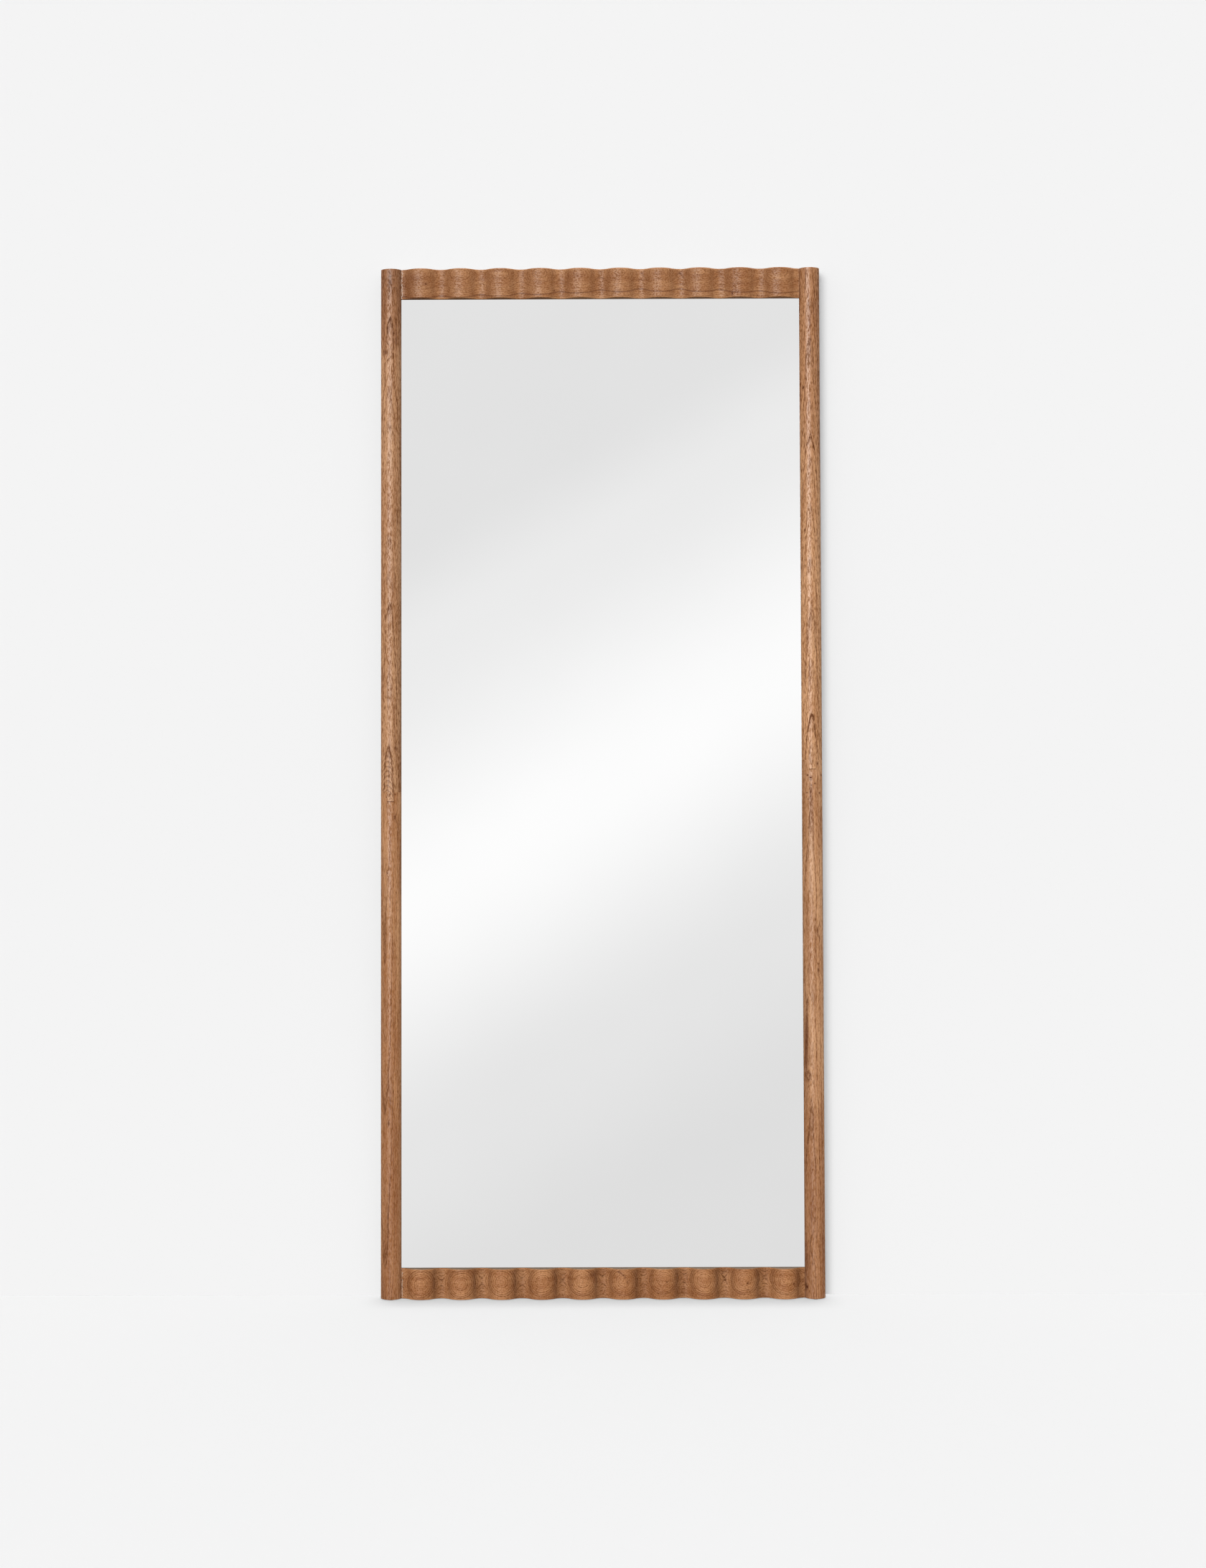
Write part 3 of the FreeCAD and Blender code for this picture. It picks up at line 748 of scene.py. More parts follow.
def cut_across(shape, axis, place, faces=None):
    """Divides faces, or all of them, at one place along an axis: 0 for X, 1 for Y and 2 for Z."""
    point, normal = Vector(), Vector()
    point[axis] = place
    normal[axis] = 1
    faces = shape.faces[:] if faces is None else faces
    edges = dict.fromkeys(edge for face in faces for edge in face.edges)
    corners = dict.fromkeys(corner for face in faces for corner in face.verts)
    bmesh.ops.bisect_plane(
        shape, geom=[*corners, *edges, *faces], dist=NEAR, plane_co=point, plane_no=normal)


def raise_faces(shape, faces):
    """Extrudes faces, and gives back the new points and faces, which still lie in place."""
    grown = bmesh.ops.extrude_face_region(shape, geom=faces)["geom"]
    return parts_of(grown, bmesh.types.BMVert), parts_of(grown, bmesh.types.BMFace)


def thicken(shape, front, back, outside):
    """Pushes a carved front back, and leaves out the stepped pocket behind the lip.

    The last argument is a test: whether a place is outside the opening by more than a margin.
    """
    size = sizes()
    depths = (front + size.lip_depth, front + size.panel_depth, back)
    reached = shape.faces[:]
    for depth, margin in zip(depths, (None, size.lip_cover, size.panel_cover)):
        if margin is not None:
            reached = [face for face in reached if outside(face.calc_center_median(), margin)]
        points, reached = raise_faces(shape, reached)
        flat = Matrix(((1, 0, 0, 0), (0, 0, 0, depth), (0, 0, 1, 0), (0, 0, 0, 1)))
        bmesh.ops.transform(shape, matrix=flat, verts=points)
    face_outwards(shape)


def rounded(shape, edges, size, segments):
    """Bevels edges to a round and gives back the new points."""
    return bmesh.ops.bevel(
        shape, geom=edges, offset=size, offset_type="OFFSET", affect="EDGES", segments=segments,
        profile=0.5, material=-1, clamp_overlap=True)["verts"]


def ease(shape, edges, size, segments=4, mark="wear"):
    """Rounds edges and marks them as worn, or as a joint line."""
    layer = shape.verts.layers.float[mark]
    for point in rounded(shape, edges, size, segments):
        point[layer] = 1.0


def sharp_edges(shape, test):
    """Edges that turn sharply and whose two ends pass a test."""
    return [
        edge for edge in shape.edges if edge.is_manifold
        and edge.calc_face_angle() > SHARP_ANGLE and all(test(end.co) for end in edge.verts)
    ]


def solid_boxes(node):
    """Lowest and highest corners of each separate solid of a CAD node."""
    copy = bmesh.new()
    copy.from_mesh(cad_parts[node].data)
    weld(copy)
    waiting = set(copy.verts)
    boxes = []
    while waiting:
        reached = [waiting.pop()]
        for point in reached:
            for edge in point.link_edges:
                other = edge.other_vert(point)
                if other in waiting:
                    waiting.remove(other)
                    reached.append(other)
        axes = list(zip(*(point.co for point in reached)))
        boxes.append([tuple(pick(axis) for axis in axes) for pick in (min, max)])
    copy.free()
    return sorted(boxes)


# Wood pieces


def carved_front(shape, reach, front, low, high):
    """The wavy front of a rail, from its left end to its right end."""
    size = sizes()
    half_pitch = reach / size.wave_count
    turn = 2 * math.atan(size.wave_depth / half_pitch)
    crest_half = size.crest_share * half_pitch
    crest_y = front + crest_half / math.sin(turn)
    trough = front + size.wave_depth
    trough_y = trough - (half_pitch - crest_half) / math.sin(turn)
    edge = new_edge(shape, (-reach, trough, low), (-reach, trough, high))
    for wave in range(size.wave_count):
        x = -reach + 2 * half_pitch * wave
        bend = turn if wave == 0 else 2 * turn
        edge = sweep(shape, edge, (x, trough_y, 0), -bend, TROUGH_STEPS)
        edge = sweep(shape, edge, (x + half_pitch, crest_y, 0), 2 * turn, CREST_STEPS)
    sweep(shape, edge, (reach, trough_y, 0), -turn, TROUGH_STEPS)


def carved_rail(node, inner, finish):
    """A rail with its carved front and its pocket; inner is the height of its edge at the glass."""
    size = sizes()
    lowest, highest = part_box(node)
    front = lowest.y
    low, high = lowest.z, highest.z
    shape = new_shape()
    carved_front(shape, highest.x, front, low, high)
    inwards = 1 if inner == high else -1
    for margin in (size.lip_cover, size.panel_cover):
        cut_across(shape, 2, inner - inwards * margin)
    room = EASE_ROOM * size.edge_ease
    for height in (low + room, high - room):
        cut_across(shape, 2, height)
    thicken(shape, front, highest.y, lambda centre, margin: abs(centre.z - inner) > margin)
    trough = front + size.wave_depth + NEAR
    for height in (low, high):
        rim = sharp_edges(shape, lambda end: abs(end.z - height) < NEAR and end.y < trough)
        ease(shape, rim, size.edge_ease)
    rail = finished(node + "_wood", shape, finish, "frame", "frame_wood", node)
    rail.visible_glossy = False


def rounded_front(shape, left, right, front, low, high):
    """The half-round front of a stile."""
    size = sizes()
    half = (right - left) / 2
    rise = size.wave_depth - size.stile_setback
    radius = (half * half + rise * rise) / (2 * rise)
    side = front + size.wave_depth
    edge = new_edge(shape, (left, side, low), (left, side, high))
    centre = ((left + right) / 2, front + size.stile_setback + radius, 0)
    sweep(shape, edge, centre, 2 * math.asin(half / radius), CROWN_STEPS)


def stile_length(node, other, upper, finish):
    """One of the two lengths of a stile, with its end eased and its half of the tongue joint."""
    size = sizes()
    lowest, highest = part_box(node)
    other_low, other_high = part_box(other)
    rail_low, rail_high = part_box("bottom_rail")
    opening = (rail_high.z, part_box("top_rail")[0].z)
    front = rail_low.y
    joint = lowest.z if upper else other_low.z
    shoulder = other_high.z if upper else highest.z
    middle = (lowest.x + highest.x) / 2
    half_tongue = (highest.x - lowest.x) * size.tongue_share / 2
    inner = lowest.x if lowest.x > 0 else highest.x
    side = 1 if lowest.x > 0 else -1
    end = highest.z if upper else lowest.z
    inwards = -1 if upper else 1

    def in_tongue(centre):
        return abs(centre.x - middle) < half_tongue

    def left_out(centre):
        if upper:
            return centre.z < shoulder and not in_tongue(centre)
        return centre.z > joint and in_tongue(centre)

    def outside(centre, margin):
        beyond = (centre.x - inner) * side > margin
        return beyond or centre.z < opening[0] - margin or centre.z > opening[1] + margin

    def at_tongue_end(place):
        flush = abs(place.x - middle) < half_tongue + NEAR
        return flush and abs(place.z - joint) < NEAR and place.y < front + size.wave_depth

    shape = new_shape()
    rounded_front(shape, lowest.x, highest.x, front, lowest.z, highest.z)
    for x in (middle - half_tongue, middle + half_tongue):
        cut_across(shape, 0, x)
    for margin in (size.lip_cover, size.panel_cover):
        cut_across(shape, 0, inner + side * margin)
        cut_across(shape, 2, opening[1] + margin if upper else opening[0] - margin)
    cut_across(shape, 2, end + inwards * EASE_ROOM * size.edge_ease)
    cut_across(shape, 2, shoulder if upper else joint)
    cut_across(shape, 2, joint - inwards * 2 * size.joint_line)
    spare = [face for face in shape.faces if left_out(face.calc_center_median())]
    bmesh.ops.delete(shape, geom=spare, context="FACES")
    thicken(shape, front, highest.y, outside)
    ease(shape, sharp_edges(shape, at_tongue_end), size.joint_line, 1, "seam")
    rim = sharp_edges(shape, lambda place: abs(place.z - end) < NEAR)
    back = highest.y - NEAR
    rim = [edge for edge in rim if any(point.co.y < back for point in edge.verts)]
    ease(shape, rim, size.edge_ease)
    finished(node + "_wood", shape, finish, "frame", "frame_wood", node)


# Fittings


def turned(shape, profile, centre):
    """Spins a profile of (radius, Y) points about an axis along Y, and closes its ends."""
    points = [shape.verts.new(centre + Vector((radius, y, 0))) for radius, y in profile]
    edges = [shape.edges.new(pair) for pair in zip(points, points[1:])]
    sweep(shape, points + edges, centre, 2 * math.pi, ROUND_STEPS, (0, 1, 0), merge=True)
    weld(shape)
    open_edges = [edge for edge in shape.edges if edge.is_boundary]
    bmesh.ops.holes_fill(shape, edges=open_edges, sides=0)


def one_screw(head_radius, head_height, shank_radius, length):
    """A pan-head screw along Y with its seat at the origin and a cross recess in its head."""
    shape = new_shape()
    shank = ((0.12, 0.0), (0.9, 2.0), (1.0, 2.4))
    head = (
        (0.94, 0.0), (1.0, 0.1), (1.0, 0.45), (0.96, 0.68), (0.86, 0.86), (0.74, 0.96), (0.62, 1.0))
    profile = [(shank_radius * across, shank_radius * up - length) for across, up in shank]
    profile.append((shank_radius, 0.0))
    profile += [(head_radius * across, head_height * up) for across, up in head]
    turned(shape, profile, Vector())

    def crown():
        return [face for face in shape.faces if face.calc_center_median().y > head_height - NEAR]

    arm = head_radius * 0.55
    half_width = head_radius * 0.14
    for axis in (0, 2):
        for place in (-arm, -half_width, half_width, arm):
            cut_across(shape, axis, place, crown())
    recess = []
    for face in crown():
        centre = face.calc_center_median()
        across, along = sorted((abs(centre.x), abs(centre.z)))
        if across < half_width and along < arm:
            recess.append(face)
    floor, _ = raise_faces(shape, recess)
    bmesh.ops.translate(shape, verts=floor, vec=(0, -head_height * 0.5, 0))
    bmesh.ops.scale(shape, verts=floor, vec=(0.8, 1, 0.8))
    face_outwards(shape)
    return shape


def screw_set(node, head_height, shank_radius, finish):
    """The screws of a CAD node, each turned a little differently, as they were driven."""
    shape = new_shape()
    for number, (lowest, highest) in enumerate(solid_boxes(node)):
        head_radius = (highest[0] - lowest[0]) / 2
        seat = highest[1] - head_height
        screw = one_screw(head_radius, head_height, shank_radius, seat - lowest[1])
        middle = Vector(((lowest[0] + highest[0]) / 2, seat, (lowest[2] + highest[2]) / 2))
        turn = Matrix.Rotation(math.radians(number * 47 % 90), 4, "Y")
        bmesh.ops.transform(screw, matrix=Matrix.Translation(middle) @ turn, verts=screw.verts)
        made = bpy.data.meshes.new("screw")
        screw.to_mesh(made)
        screw.free()
        shape.from_mesh(made)
        bpy.data.meshes.remove(made)
    finished(node + "_steel", shape, finish, "frame", "screw_steel", node)


def brace(node, side, end, finish):
    """A flat angle plate with rounded corners and rims; side and end point to its outer corner."""
    lowest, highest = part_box(node)
    width = BRACE_WIDTH
    outer = (highest.x if side > 0 else lowest.x, highest.z if end > 0 else lowest.z)
    leg_x, leg_z = highest.x - lowest.x, highest.z - lowest.z
    outline = [(0, 0), (leg_x, 0), (leg_x, width), (width, width), (width, leg_z), (0, leg_z)]
    shape = new_shape()
    points = [
        shape.verts.new((outer[0] - side * x, lowest.y, outer[1] - end * z)) for x, z in outline]
    inner_place = points[3].co.copy()
    raised, _ = raise_faces(shape, [shape.faces.new(points)])
    bmesh.ops.translate(shape, verts=raised, vec=(0, highest.y - lowest.y, 0))
    face_outwards(shape)

    def upright(edge):
        ends = [point.co for point in edge.verts]
        apart = math.hypot(ends[0].x - inner_place.x, ends[0].z - inner_place.z)
        return abs(ends[0].y - ends[1].y) > NEAR and apart > NEAR

    corners = [edge for edge in shape.edges if upright(edge)]
    rounded(shape, corners, BRACE_CORNER, CORNER_STEPS)
    rim = sharp_edges(shape, lambda place: place.y > highest.y - NEAR)
    ease(shape, rim, PLATE_EASE, 2)
    finished(node + "_plate", shape, finish, "frame", "plated_steel", node)


def strap(node, ring, finish):
    """A strap folded round the ring's bar: up the wood, over the bar, and down over itself."""
    lowest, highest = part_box(node)
    axis_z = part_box(ring)[1].z - WIRE_RADIUS
    eye = (highest.y - lowest.y) / 2
    axis_y = lowest.y + eye
    seat = lowest.y + STRAP_THICKNESS / 2
    back = seat + STRAP_THICKNESS
    shape = new_shape()
    line = new_edge(shape, (lowest.x, seat, lowest.z), (highest.x, seat, lowest.z))
    line = pushed_on(shape, line, (0, 0, axis_z - lowest.z))
    fold = math.pi + math.acos((axis_y - back) / (eye - STRAP_THICKNESS / 2))
    line = sweep(shape, line, (0, axis_y, axis_z), -fold, FOLD_STEPS, (1, 0, 0))
    foot = parts_of(line, bmesh.types.BMVert)[0].co
    pushed_on(shape, line, (0, back - foot.y, lowest.z - foot.z))
    weld(shape)
    face_outwards(shape)
    bmesh.ops.solidify(shape, geom=shape.faces[:], thickness=STRAP_THICKNESS)
    finished(node + "_plate", shape, finish, "frame", "plated_steel", node)


def wire_ring(node, body, finish):
    """A ring of round wire shaped like a D, with its straight bar on top."""
    lowest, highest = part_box(node)
    wire = (highest.y - lowest.y) / 2
    left, right = lowest.x + wire + WIRE_BEND, highest.x - wire - WIRE_BEND
    y = (lowest.y + highest.y) / 2
    top = highest.z - wire
    arm_top = top - WIRE_BEND
    half = (right - left) / 2 + WIRE_BEND
    arm_end = lowest.z + wire + half
    across = (0, 1, 0)
    shape = new_shape()
    start = Matrix.Translation((left, y, top)) @ Matrix.Rotation(math.pi / 2, 4, "Y")
    circle = bmesh.ops.create_circle(
        shape, segments=WIRE_SIDES, radius=wire, cap_ends=False, matrix=start)["verts"]
    loop = circle + list({edge for point in circle for edge in point.link_edges})
    loop = pushed_on(shape, loop, (right - left, 0, 0))
    loop = sweep(shape, loop, (right, y, arm_top), math.pi / 2, BEND_STEPS, across)
    loop = pushed_on(shape, loop, (0, 0, arm_end - arm_top))
    loop = sweep(shape, loop, ((left + right) / 2, y, arm_end), math.pi, BOW_STEPS, across)
    loop = pushed_on(shape, loop, (0, 0, arm_top - arm_end))
    sweep(shape, loop, (left, y, arm_top), math.pi / 2, BEND_STEPS, across)
    finished(node + "_wire", shape, finish, body, "plated_steel", node)


def bumper_set(node, finish):
    """Soft round bumpers with a full rounded rim and a shallow dish in the middle."""
    shape = new_shape()
    for lowest, highest in solid_boxes(node):
        radius = (highest[0] - lowest[0]) / 2
        height = highest[1] - lowest[1]
        seat = Vector(((lowest[0] + highest[0]) / 2, lowest[1], (lowest[2] + highest[2]) / 2))
        inner, shoulder = radius - BUMPER_EDGE, height - BUMPER_EDGE
        profile = [(radius * 0.2, 0.0), (radius, 0.0), (radius, shoulder)]
        for step in range(1, RIM_STEPS + 1):
            angle = step * math.pi / 2 / RIM_STEPS
            across, up = BUMPER_EDGE * math.cos(angle), BUMPER_EDGE * math.sin(angle)
            profile.append((inner + across, shoulder + up))
        dish = height - BUMPER_DISH
        profile += [(radius * 0.5, height), (radius * 0.4, dish), (radius * 0.1, dish)]
        turned(shape, profile, seat)
    finished(node + "_rubber", shape, finish, "frame", "rubber", node)


# Operators, one for each piece or group of like pieces


def leaning(amount, toward):
    """The turn of a grain that runs up a stile and leans: 0 is towards the right, 90 the back."""
    return (0, math.radians(amount) - math.pi / 2, math.radians(toward))


class MIRROR_OT_rails(Operator):
    """Carves the top and bottom rails"""

    bl_idname = "mirror.rails"
    bl_label = "Carved rails"

    def execute(self, context):
        lowest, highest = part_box("bottom_rail")
        crest = lowest.y
        end = highest.x - 0.0002
        # The bottom rail's wood carries a painted shadow in its troughs
        low_wood = wood_finish(
            "Bottom rail wood", (0, crest - 0.030, 0.031), (0, 0, 0), warp=0.007, figure=0.8,
            streaks=0.12, grain=0.38, tone=(1.1, 0.955, 0.748), along="X", core=0.030,
            knots=KNOTS["bottom_rail"], crowding=(0.0285, 0.8), fibres=380.0,
            fading=(crest + 0.005, crest + 0.0095), dark_ring=(0.0233, 0.003, 0.25),
            filler_at=end, sawn_top=True, painted_shadow_share=0.27, sway=(-0.33, 0.02, -0.0035, 0.0035))
        carved_rail("bottom_rail", highest.z, low_wood)
        top_low, top_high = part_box("top_rail")
        # The top rail's wood carries painted shade on the sides of its waves
        high_wood = wood_finish(
            "Top rail wood", (0, crest - 0.012, top_high.z - 0.009), (0, math.radians(-0.25), 0),
            spacing=0.0036, warp=0.006, figure=0.55, streaks=0.22, grain=0.42,
            tone=(0.985, 0.86, 0.675), along="X", core=0.012, knots=KNOTS["top_rail"],
            fibres=300.0, dark_ring=(0.0415, 0.0022, 0.6), filler_at=end, painted_flank_shade=0.22, painted_flank_lift=0.6)
        carved_rail("top_rail", top_low.z, high_wood)
        return {"FINISHED"}


class MIRROR_OT_stiles(Operator):
    """Shapes the two lengths of both stiles"""

    bl_idname = "mirror.stiles"
    bl_label = "Half-round stiles"

    def execute(self, context):
        # The stiles' flank values are painted shade across their rounded fronts
        grains = {
            "left_stile_upper": dict(
                name="Left upper wood", pith=(-0.375, -0.075, 0.9), turn=leaning(2.2, -80.0),
                warp=0.012, figure=0.85, streaks=0.45, grain=0.62, tone=(1.16, 1.13, 1.04),
                polish=(0.95, 0.36), arches=(-0.3665, 0.853, 0.962, 0.0082, 0.0046, 0.6),
                tone_by_height=(1.61, 1.67, 1.04, 0.76)),
            "left_stile_lower": dict(
                name="Left lower wood", pith=(-0.40, -0.06, 0.4), turn=leaning(1.5, 85.0),
                warp=0.01, figure=0.65, streaks=0.38, grain=0.3, tone=(1.085, 0.985, 0.825),
                polish=(1.0, 0.3), painted_flank_shade=0.17, tone_by_height=(0.08, 0.72, 0.84, 1.1)),
            "right_stile_upper": dict(
                name="Right upper wood", pith=(0.36, -0.08, 0.9), turn=leaning(2.5, -95.0),
                warp=0.01, figure=1.0, streaks=0.5, grain=0.62, tone=(1.31, 1.27, 1.15),
                polish=(1.0, 0.32), painted_flank_shade=-0.03, seam=0.3, tone_by_height=(1.25, 1.7, 1.11, 0.8)),
            "right_stile_lower": dict(
                name="Right lower wood", pith=(0.34, -0.06, 0.4), turn=leaning(1.2, -60.0),
                warp=0.012, figure=0.65, streaks=0.42, grain=0.36, tone=(1.17, 1.12, 1.015),
                polish=(1.0, 0.34), painted_flank_shade=0.15, seam=0.3, tone_by_height=(0.08, 0.5, 0.77, 1.1)),
        }
        woods = {
            node: wood_finish(along="Z", knots=KNOTS[node], **grain)
            for node, grain in grains.items()}
        for side in ("left", "right"):
            upper, lower = side + "_stile_upper", side + "_stile_lower"
            stile_length(upper, lower, True, woods[upper])
            stile_length(lower, upper, False, woods[lower])
        return {"FINISHED"}


class MIRROR_OT_glass(Operator):
    """Finishes the mirror and the layers in its pocket"""

    bl_idname = "mirror.glass"
    bl_label = "Mirror glass"

    def execute(self, context):
        dress(mirror_finish(), "mirror_glass")
        paint = matt_finish("Silvering paint", (0.33, 0.34, 0.35), 0.06, 900, 0.5, 0.05)
        dress(paint, "silvered_film")
        card = matt_finish("Liner card", (0.58, 0.5, 0.39), 0.1, 700, 0.85, 0.2)
        dress(card, "liner_card")
        tape = matt_finish("Glazing tape", (0.7, 0.7, 0.68), 0.05, 1200, 0.7, 0.15)
        dress(tape, "glazing_tape")
        soft = matt_finish("Setting rubber", finishes().rubber, 0.25, 1500, 0.7, 0.2)
        dress(soft, "setting_blocks", "edge_spacers")
        return {"FINISHED"}


class MIRROR_OT_backing(Operator):
    """Finishes the backing panel and the dowels"""

    bl_idname = "mirror.backing"
    bl_label = "Backing panel"

    def execute(self, context):
        board = matt_finish("Fibre board", finishes().board, 0.06, 1500, 0.72, 0.25)
        dress(board, "backing_panel")
        dowel = wood_finish(
            "Dowel beech", (0, 0.003, 0.03), (0, 0, 0), spacing=0.0016, warp=0.003, figure=0.15,
            streaks=0.2, grain=0.2, tone=(1.5, 1.6, 1.8), along="X")
        dress(dowel, "corner_dowels")
        return {"FINISHED"}


class MIRROR_OT_braces(Operator):
    """Makes the four corner braces"""

    bl_idname = "mirror.braces"
    bl_label = "Corner braces"

    def execute(self, context):
        zinc = metal_finish("Zinc plate", finishes().plate, (300, 1600, 1600), 0.52)
        for end, across in ((-1, "bottom"), (1, "top")):
            for side, along in ((-1, "left"), (1, "right")):
                brace("corner_brace_" + across + "_" + along, side, end, zinc)
        return {"FINISHED"}


class MIRROR_OT_hangers(Operator):
    """Makes the straps and rings that the mirror can hang by"""

    bl_idname = "mirror.hangers"
    bl_label = "Ring hangers"

    def execute(self, context):
        zinc = metal_finish("Bright zinc", finishes().plate, (1600, 1600, 400), 0.32)
        for side in ("left", "right"):
            ring = "hanger_ring_" + side
            strap("hanger_strap_" + side, ring, zinc)
            wire_ring(ring, side + "_ring", zinc)
        return {"FINISHED"}


class MIRROR_OT_screws(Operator):
    """Drives the screws of the panel, the braces and the hangers"""

    bl_idname = "mirror.screws"
    bl_label = "Screws"

    def execute(self, context):
        steel = metal_finish("Passivated steel", finishes().screw, (1400, 500, 1400), 0.36)
        screw_set("panel_screws", 0.0022, 0.00175, steel)
        screw_set("brace_screws", 0.0026, 0.002, steel)
        screw_set("hanger_screws", 0.0026, 0.002, steel)
        return {"FINISHED"}


class MIRROR_OT_rubber(Operator):
    """Makes the wall bumpers and finishes the floor pads"""

    bl_idname = "mirror.rubber"
    bl_label = "Bumpers and pads"

    def execute(self, context):
        rubber = matt_finish("Black rubber", finishes().rubber, 0.3, 1800, 0.62, 0.25)
        bumper_set("wall_bumpers", rubber)
        dress(rubber, "floor_pads")
        return {"FINISHED"}


# Stage


def stage_sheet(name, corners, finish):
    """A flat stage sheet with its face towards the mirror."""
    shape = bmesh.new()
    shape.faces.new([shape.verts.new(corner) for corner in corners])
    sheet = to_object(name, shape, finish)
    sheet.visible_diffuse = False
    sheet.visible_glossy = False
    sheet.visible_shadow = False
    return sheet


def stage_finish(name, paint, glow):
    """Pale paint on the face only, with a little glow for the camera, the gloss and the glass."""
    finish = bpy.data.materials.new(name)
    tree = emptied(finish)
    matt = add(tree, "BsdfDiffuse", {"Color": rgba((paint, paint, paint))})
    rays = add(tree, "LightPath")
    seen = rays["Is Camera Ray"].most(rays["Is Glossy Ray"]).most(rays["Is Transmission Ray"])
    light = add(tree, "Emission", {"Strength": seen * glow})
    face = add(tree, "AddShader", {0: matt[0], 1: light[0]})
    behind = add(tree, "NewGeometry")["Backfacing"]
    both = blended(behind, face, add(tree, "BsdfTransparent"))
    add(tree, "OutputMaterial", {"Surface": both[0]})
    return finish


def sun(name, travel, strength, spread):
    """A soft distant lamp whose light travels in a direction."""
    lamp = bpy.data.lights.new(name, "SUN")
    lamp.energy = strength
    lamp.angle = math.radians(spread)
    hung = placed(name, lamp)
    hung.rotation_euler = Vector(travel).to_track_quat("-Z", "Y").to_euler()
    hung.location = Vector(travel) * -4
    return hung


def keep_off(lamp, *shaded):
    """Flags a lamp so that its light doesn't reach some objects, as a card on a stand does."""
    flags = bpy.data.collections.new(lamp.name + " flags")
    for thing in shaded:
        flags.objects.link(thing)
    for flag in flags.collection_objects:
        flag.light_linking.link_state = "EXCLUDE"
    lamp.light_linking.receiver_collection = flags


def surroundings():
    """Even light all round; the camera sees the backdrop, and the glass a pale band of light."""
    world = bpy.data.worlds.new("Studio")
    bpy.context.scene.world = world
    tree = emptied(world)
    rays = add(tree, "LightPath")
    aim = add(tree, "TexCoord")["Generated"].parts()
    towards = aim["Y"] * -1.0
    ahead = towards.most(0.05)
    across = aim["Z"] / ahead - aim["X"] / ahead * BAND_SLOPE
    low, high = BAND_EDGES
    part = add(tree, "MapRange", {"Value": across, "From Min": low, "From Max": high})[0]
    band = add(tree, "ValToRGB", {0: part})
    steps = band.node.color_ramp
    steps.interpolation = "EASE"
    while len(steps.elements) < len(BAND_LEVELS):
        steps.elements.new(0.5)
    for element, (position, level) in zip(steps.elements, BAND_LEVELS):
        element.position = position
        element.color = rgba((level, level, level))

    def sky(colour, strength=1.0):
        return add(tree, "Background", {"Color": rgba(colour), "Strength": strength})

    even = sky(WHITE, aim["Z"].ramp(-0.3, 0.3, AMBIENT_BELOW, AMBIENT_ABOVE))
    ground = aim["Z"].ramp(-0.55, -0.2, 0.85, 0.42)
    room = sky(WHITE, aim["Z"].ramp(-0.7, 0.7, 0.4, 0.62).most(ground))
    mirrored = blended(towards.ramp(0.8, 0.93), room, sky(band[0], BAND_STRENGTH))
    direct = rays["Diffuse Depth"].math("LESS_THAN", 0.5)
    lit = blended(rays["Is Glossy Ray"] * direct, even, mirrored)
    seen = rays["Is Camera Ray"].most(rays["Is Transmission Ray"])
    everything = blended(seen, lit, sky(finishes().backdrop))
    add(tree, "OutputWorld", {"Surface": everything[0]})


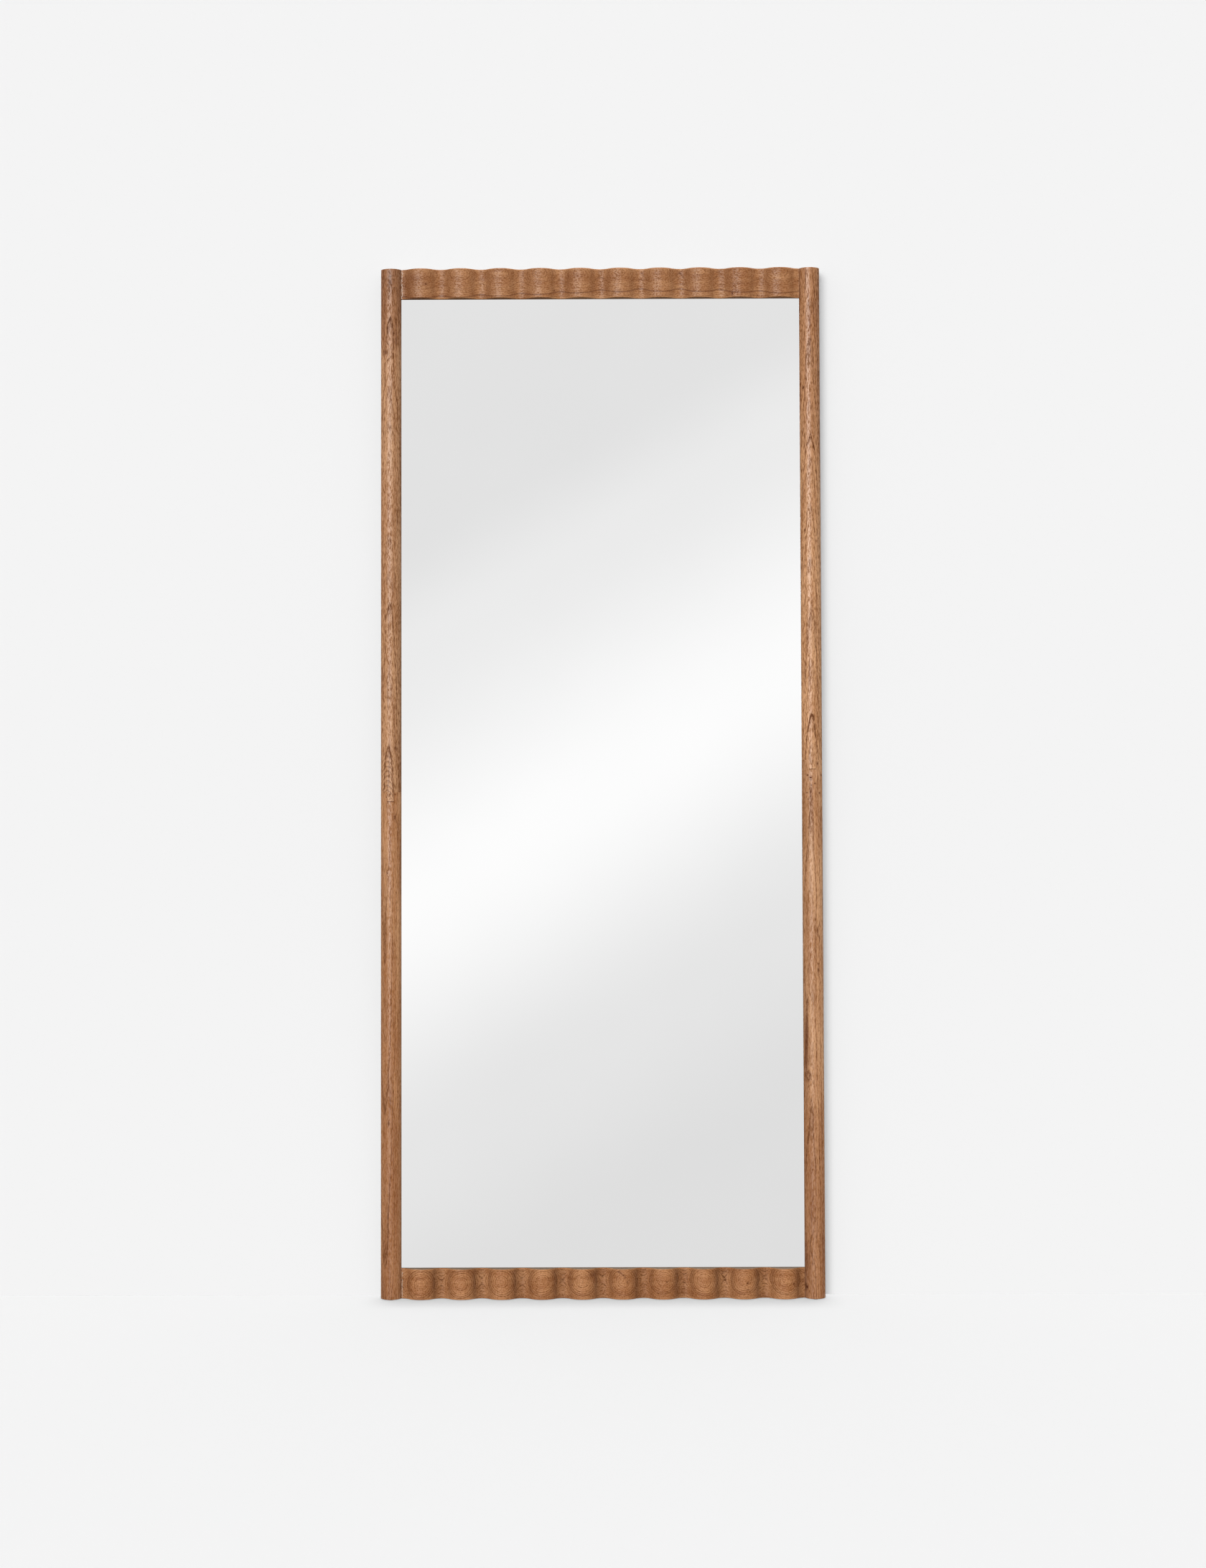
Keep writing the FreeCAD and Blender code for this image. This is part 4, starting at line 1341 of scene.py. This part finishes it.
class MIRROR_OT_stage(Operator):
    """Sets the wall, the floor, the lamps and the camera"""

    bl_idname = "mirror.stage"
    bl_label = "Stage"

    def execute(self, context):
        scene = context.scene
        scene.view_settings.view_transform = "Standard"
        slant, rise = math.radians(KEY_SIDE), math.radians(KEY_RISE)
        forward = math.cos(rise)
        key = (math.sin(slant) * forward, math.cos(slant) * forward, -math.sin(rise))
        floor_light = AMBIENT_ABOVE + (1 - AMBIENT) * -key[2] / key[1] + OVERHEAD / math.pi
        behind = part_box("wall_bumpers")[1].y + 0.0002
        pale = finishes().backdrop[0]
        wall = stage_finish("Wall paint", WALL_PAINT, pale - WALL_PAINT)
        glow = pale + FLOOR_LIFT - FLOOR_PAINT * floor_light
        floor = stage_finish("Floor paint", FLOOR_PAINT, glow)
        square = [(-1, -1), (1, -1), (1, 1), (-1, 1)]
        upright = [(x * STAGE_REACH, behind, max(z, 0) * WALL_HEIGHT) for x, z in square]
        level = [(x * STAGE_REACH, y * STAGE_REACH, 0) for x, y in square]
        sheets = [stage_sheet("wall", upright, wall), stage_sheet("floor", level, floor)]
        surroundings()
        lamp = sun("Key lamp", key, (1 - AMBIENT) * math.pi / key[1], KEY_SPREAD)
        keep_off(lamp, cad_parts["mirror_glass"])
        sun("Top lamp", (0, -math.sin(math.radians(1.1)), -1), OVERHEAD, 2.3)
        keep_off(sun("Back lamp", (0.25, -1.0, -0.1), 1.6, 30), *sheets)
        lens = bpy.data.cameras.new("Camera")
        lens.lens = CAMERA_LENS
        lens.sensor_width = CAMERA_WIDTH
        lens.shift_y = CAMERA_SHIFT
        stand = Matrix.Translation(CAMERA_PLACE)
        for angle, axis in zip(CAMERA_TURN, "ZXZ"):
            stand = stand @ Matrix.Rotation(math.radians(angle), 4, axis)
        scene.camera = placed("Camera", lens)
        scene.camera.matrix_world = stand
        return {"FINISHED"}


class MIRROR_PT_pieces(Panel):
    """Lists the pieces of the mirror in the order that they are made"""

    bl_label = "Carved floor mirror"
    bl_idname = "MIRROR_PT_pieces"
    bl_space_type = "VIEW_3D"
    bl_region_type = "UI"
    bl_category = "Mirror"

    def draw(self, context):
        column = self.layout.column(align=True)
        for step in STEPS:
            column.operator(step.bl_idname)
        for group in (context.scene.mirror_sizes, context.scene.mirror_finishes):
            box = self.layout.box().column(align=True)
            for name in group.__annotations__:
                box.prop(group, name)


STEPS = (
    MIRROR_OT_rails,
    MIRROR_OT_stiles,
    MIRROR_OT_glass,
    MIRROR_OT_backing,
    MIRROR_OT_braces,
    MIRROR_OT_hangers,
    MIRROR_OT_screws,
    MIRROR_OT_rubber,
    MIRROR_OT_stage,
)
CLASSES = (MirrorSizes, MirrorFinishes, *STEPS, MIRROR_PT_pieces)


def register():
    for cls in CLASSES:
        bpy.utils.register_class(cls)
    bpy.types.Scene.mirror_sizes = PointerProperty(type=MirrorSizes)
    bpy.types.Scene.mirror_finishes = PointerProperty(type=MirrorFinishes)


def unregister():
    del bpy.types.Scene.mirror_finishes
    del bpy.types.Scene.mirror_sizes
    for cls in reversed(CLASSES):
        bpy.utils.unregister_class(cls)


def main():
    """Makes every piece in order."""
    register()
    bpy.ops.mirror.rails()
    bpy.ops.mirror.stiles()
    bpy.ops.mirror.glass()
    bpy.ops.mirror.backing()
    bpy.ops.mirror.braces()
    bpy.ops.mirror.hangers()
    bpy.ops.mirror.screws()
    bpy.ops.mirror.rubber()
    bpy.ops.mirror.stage()


if __name__ == "__main__":
    main()
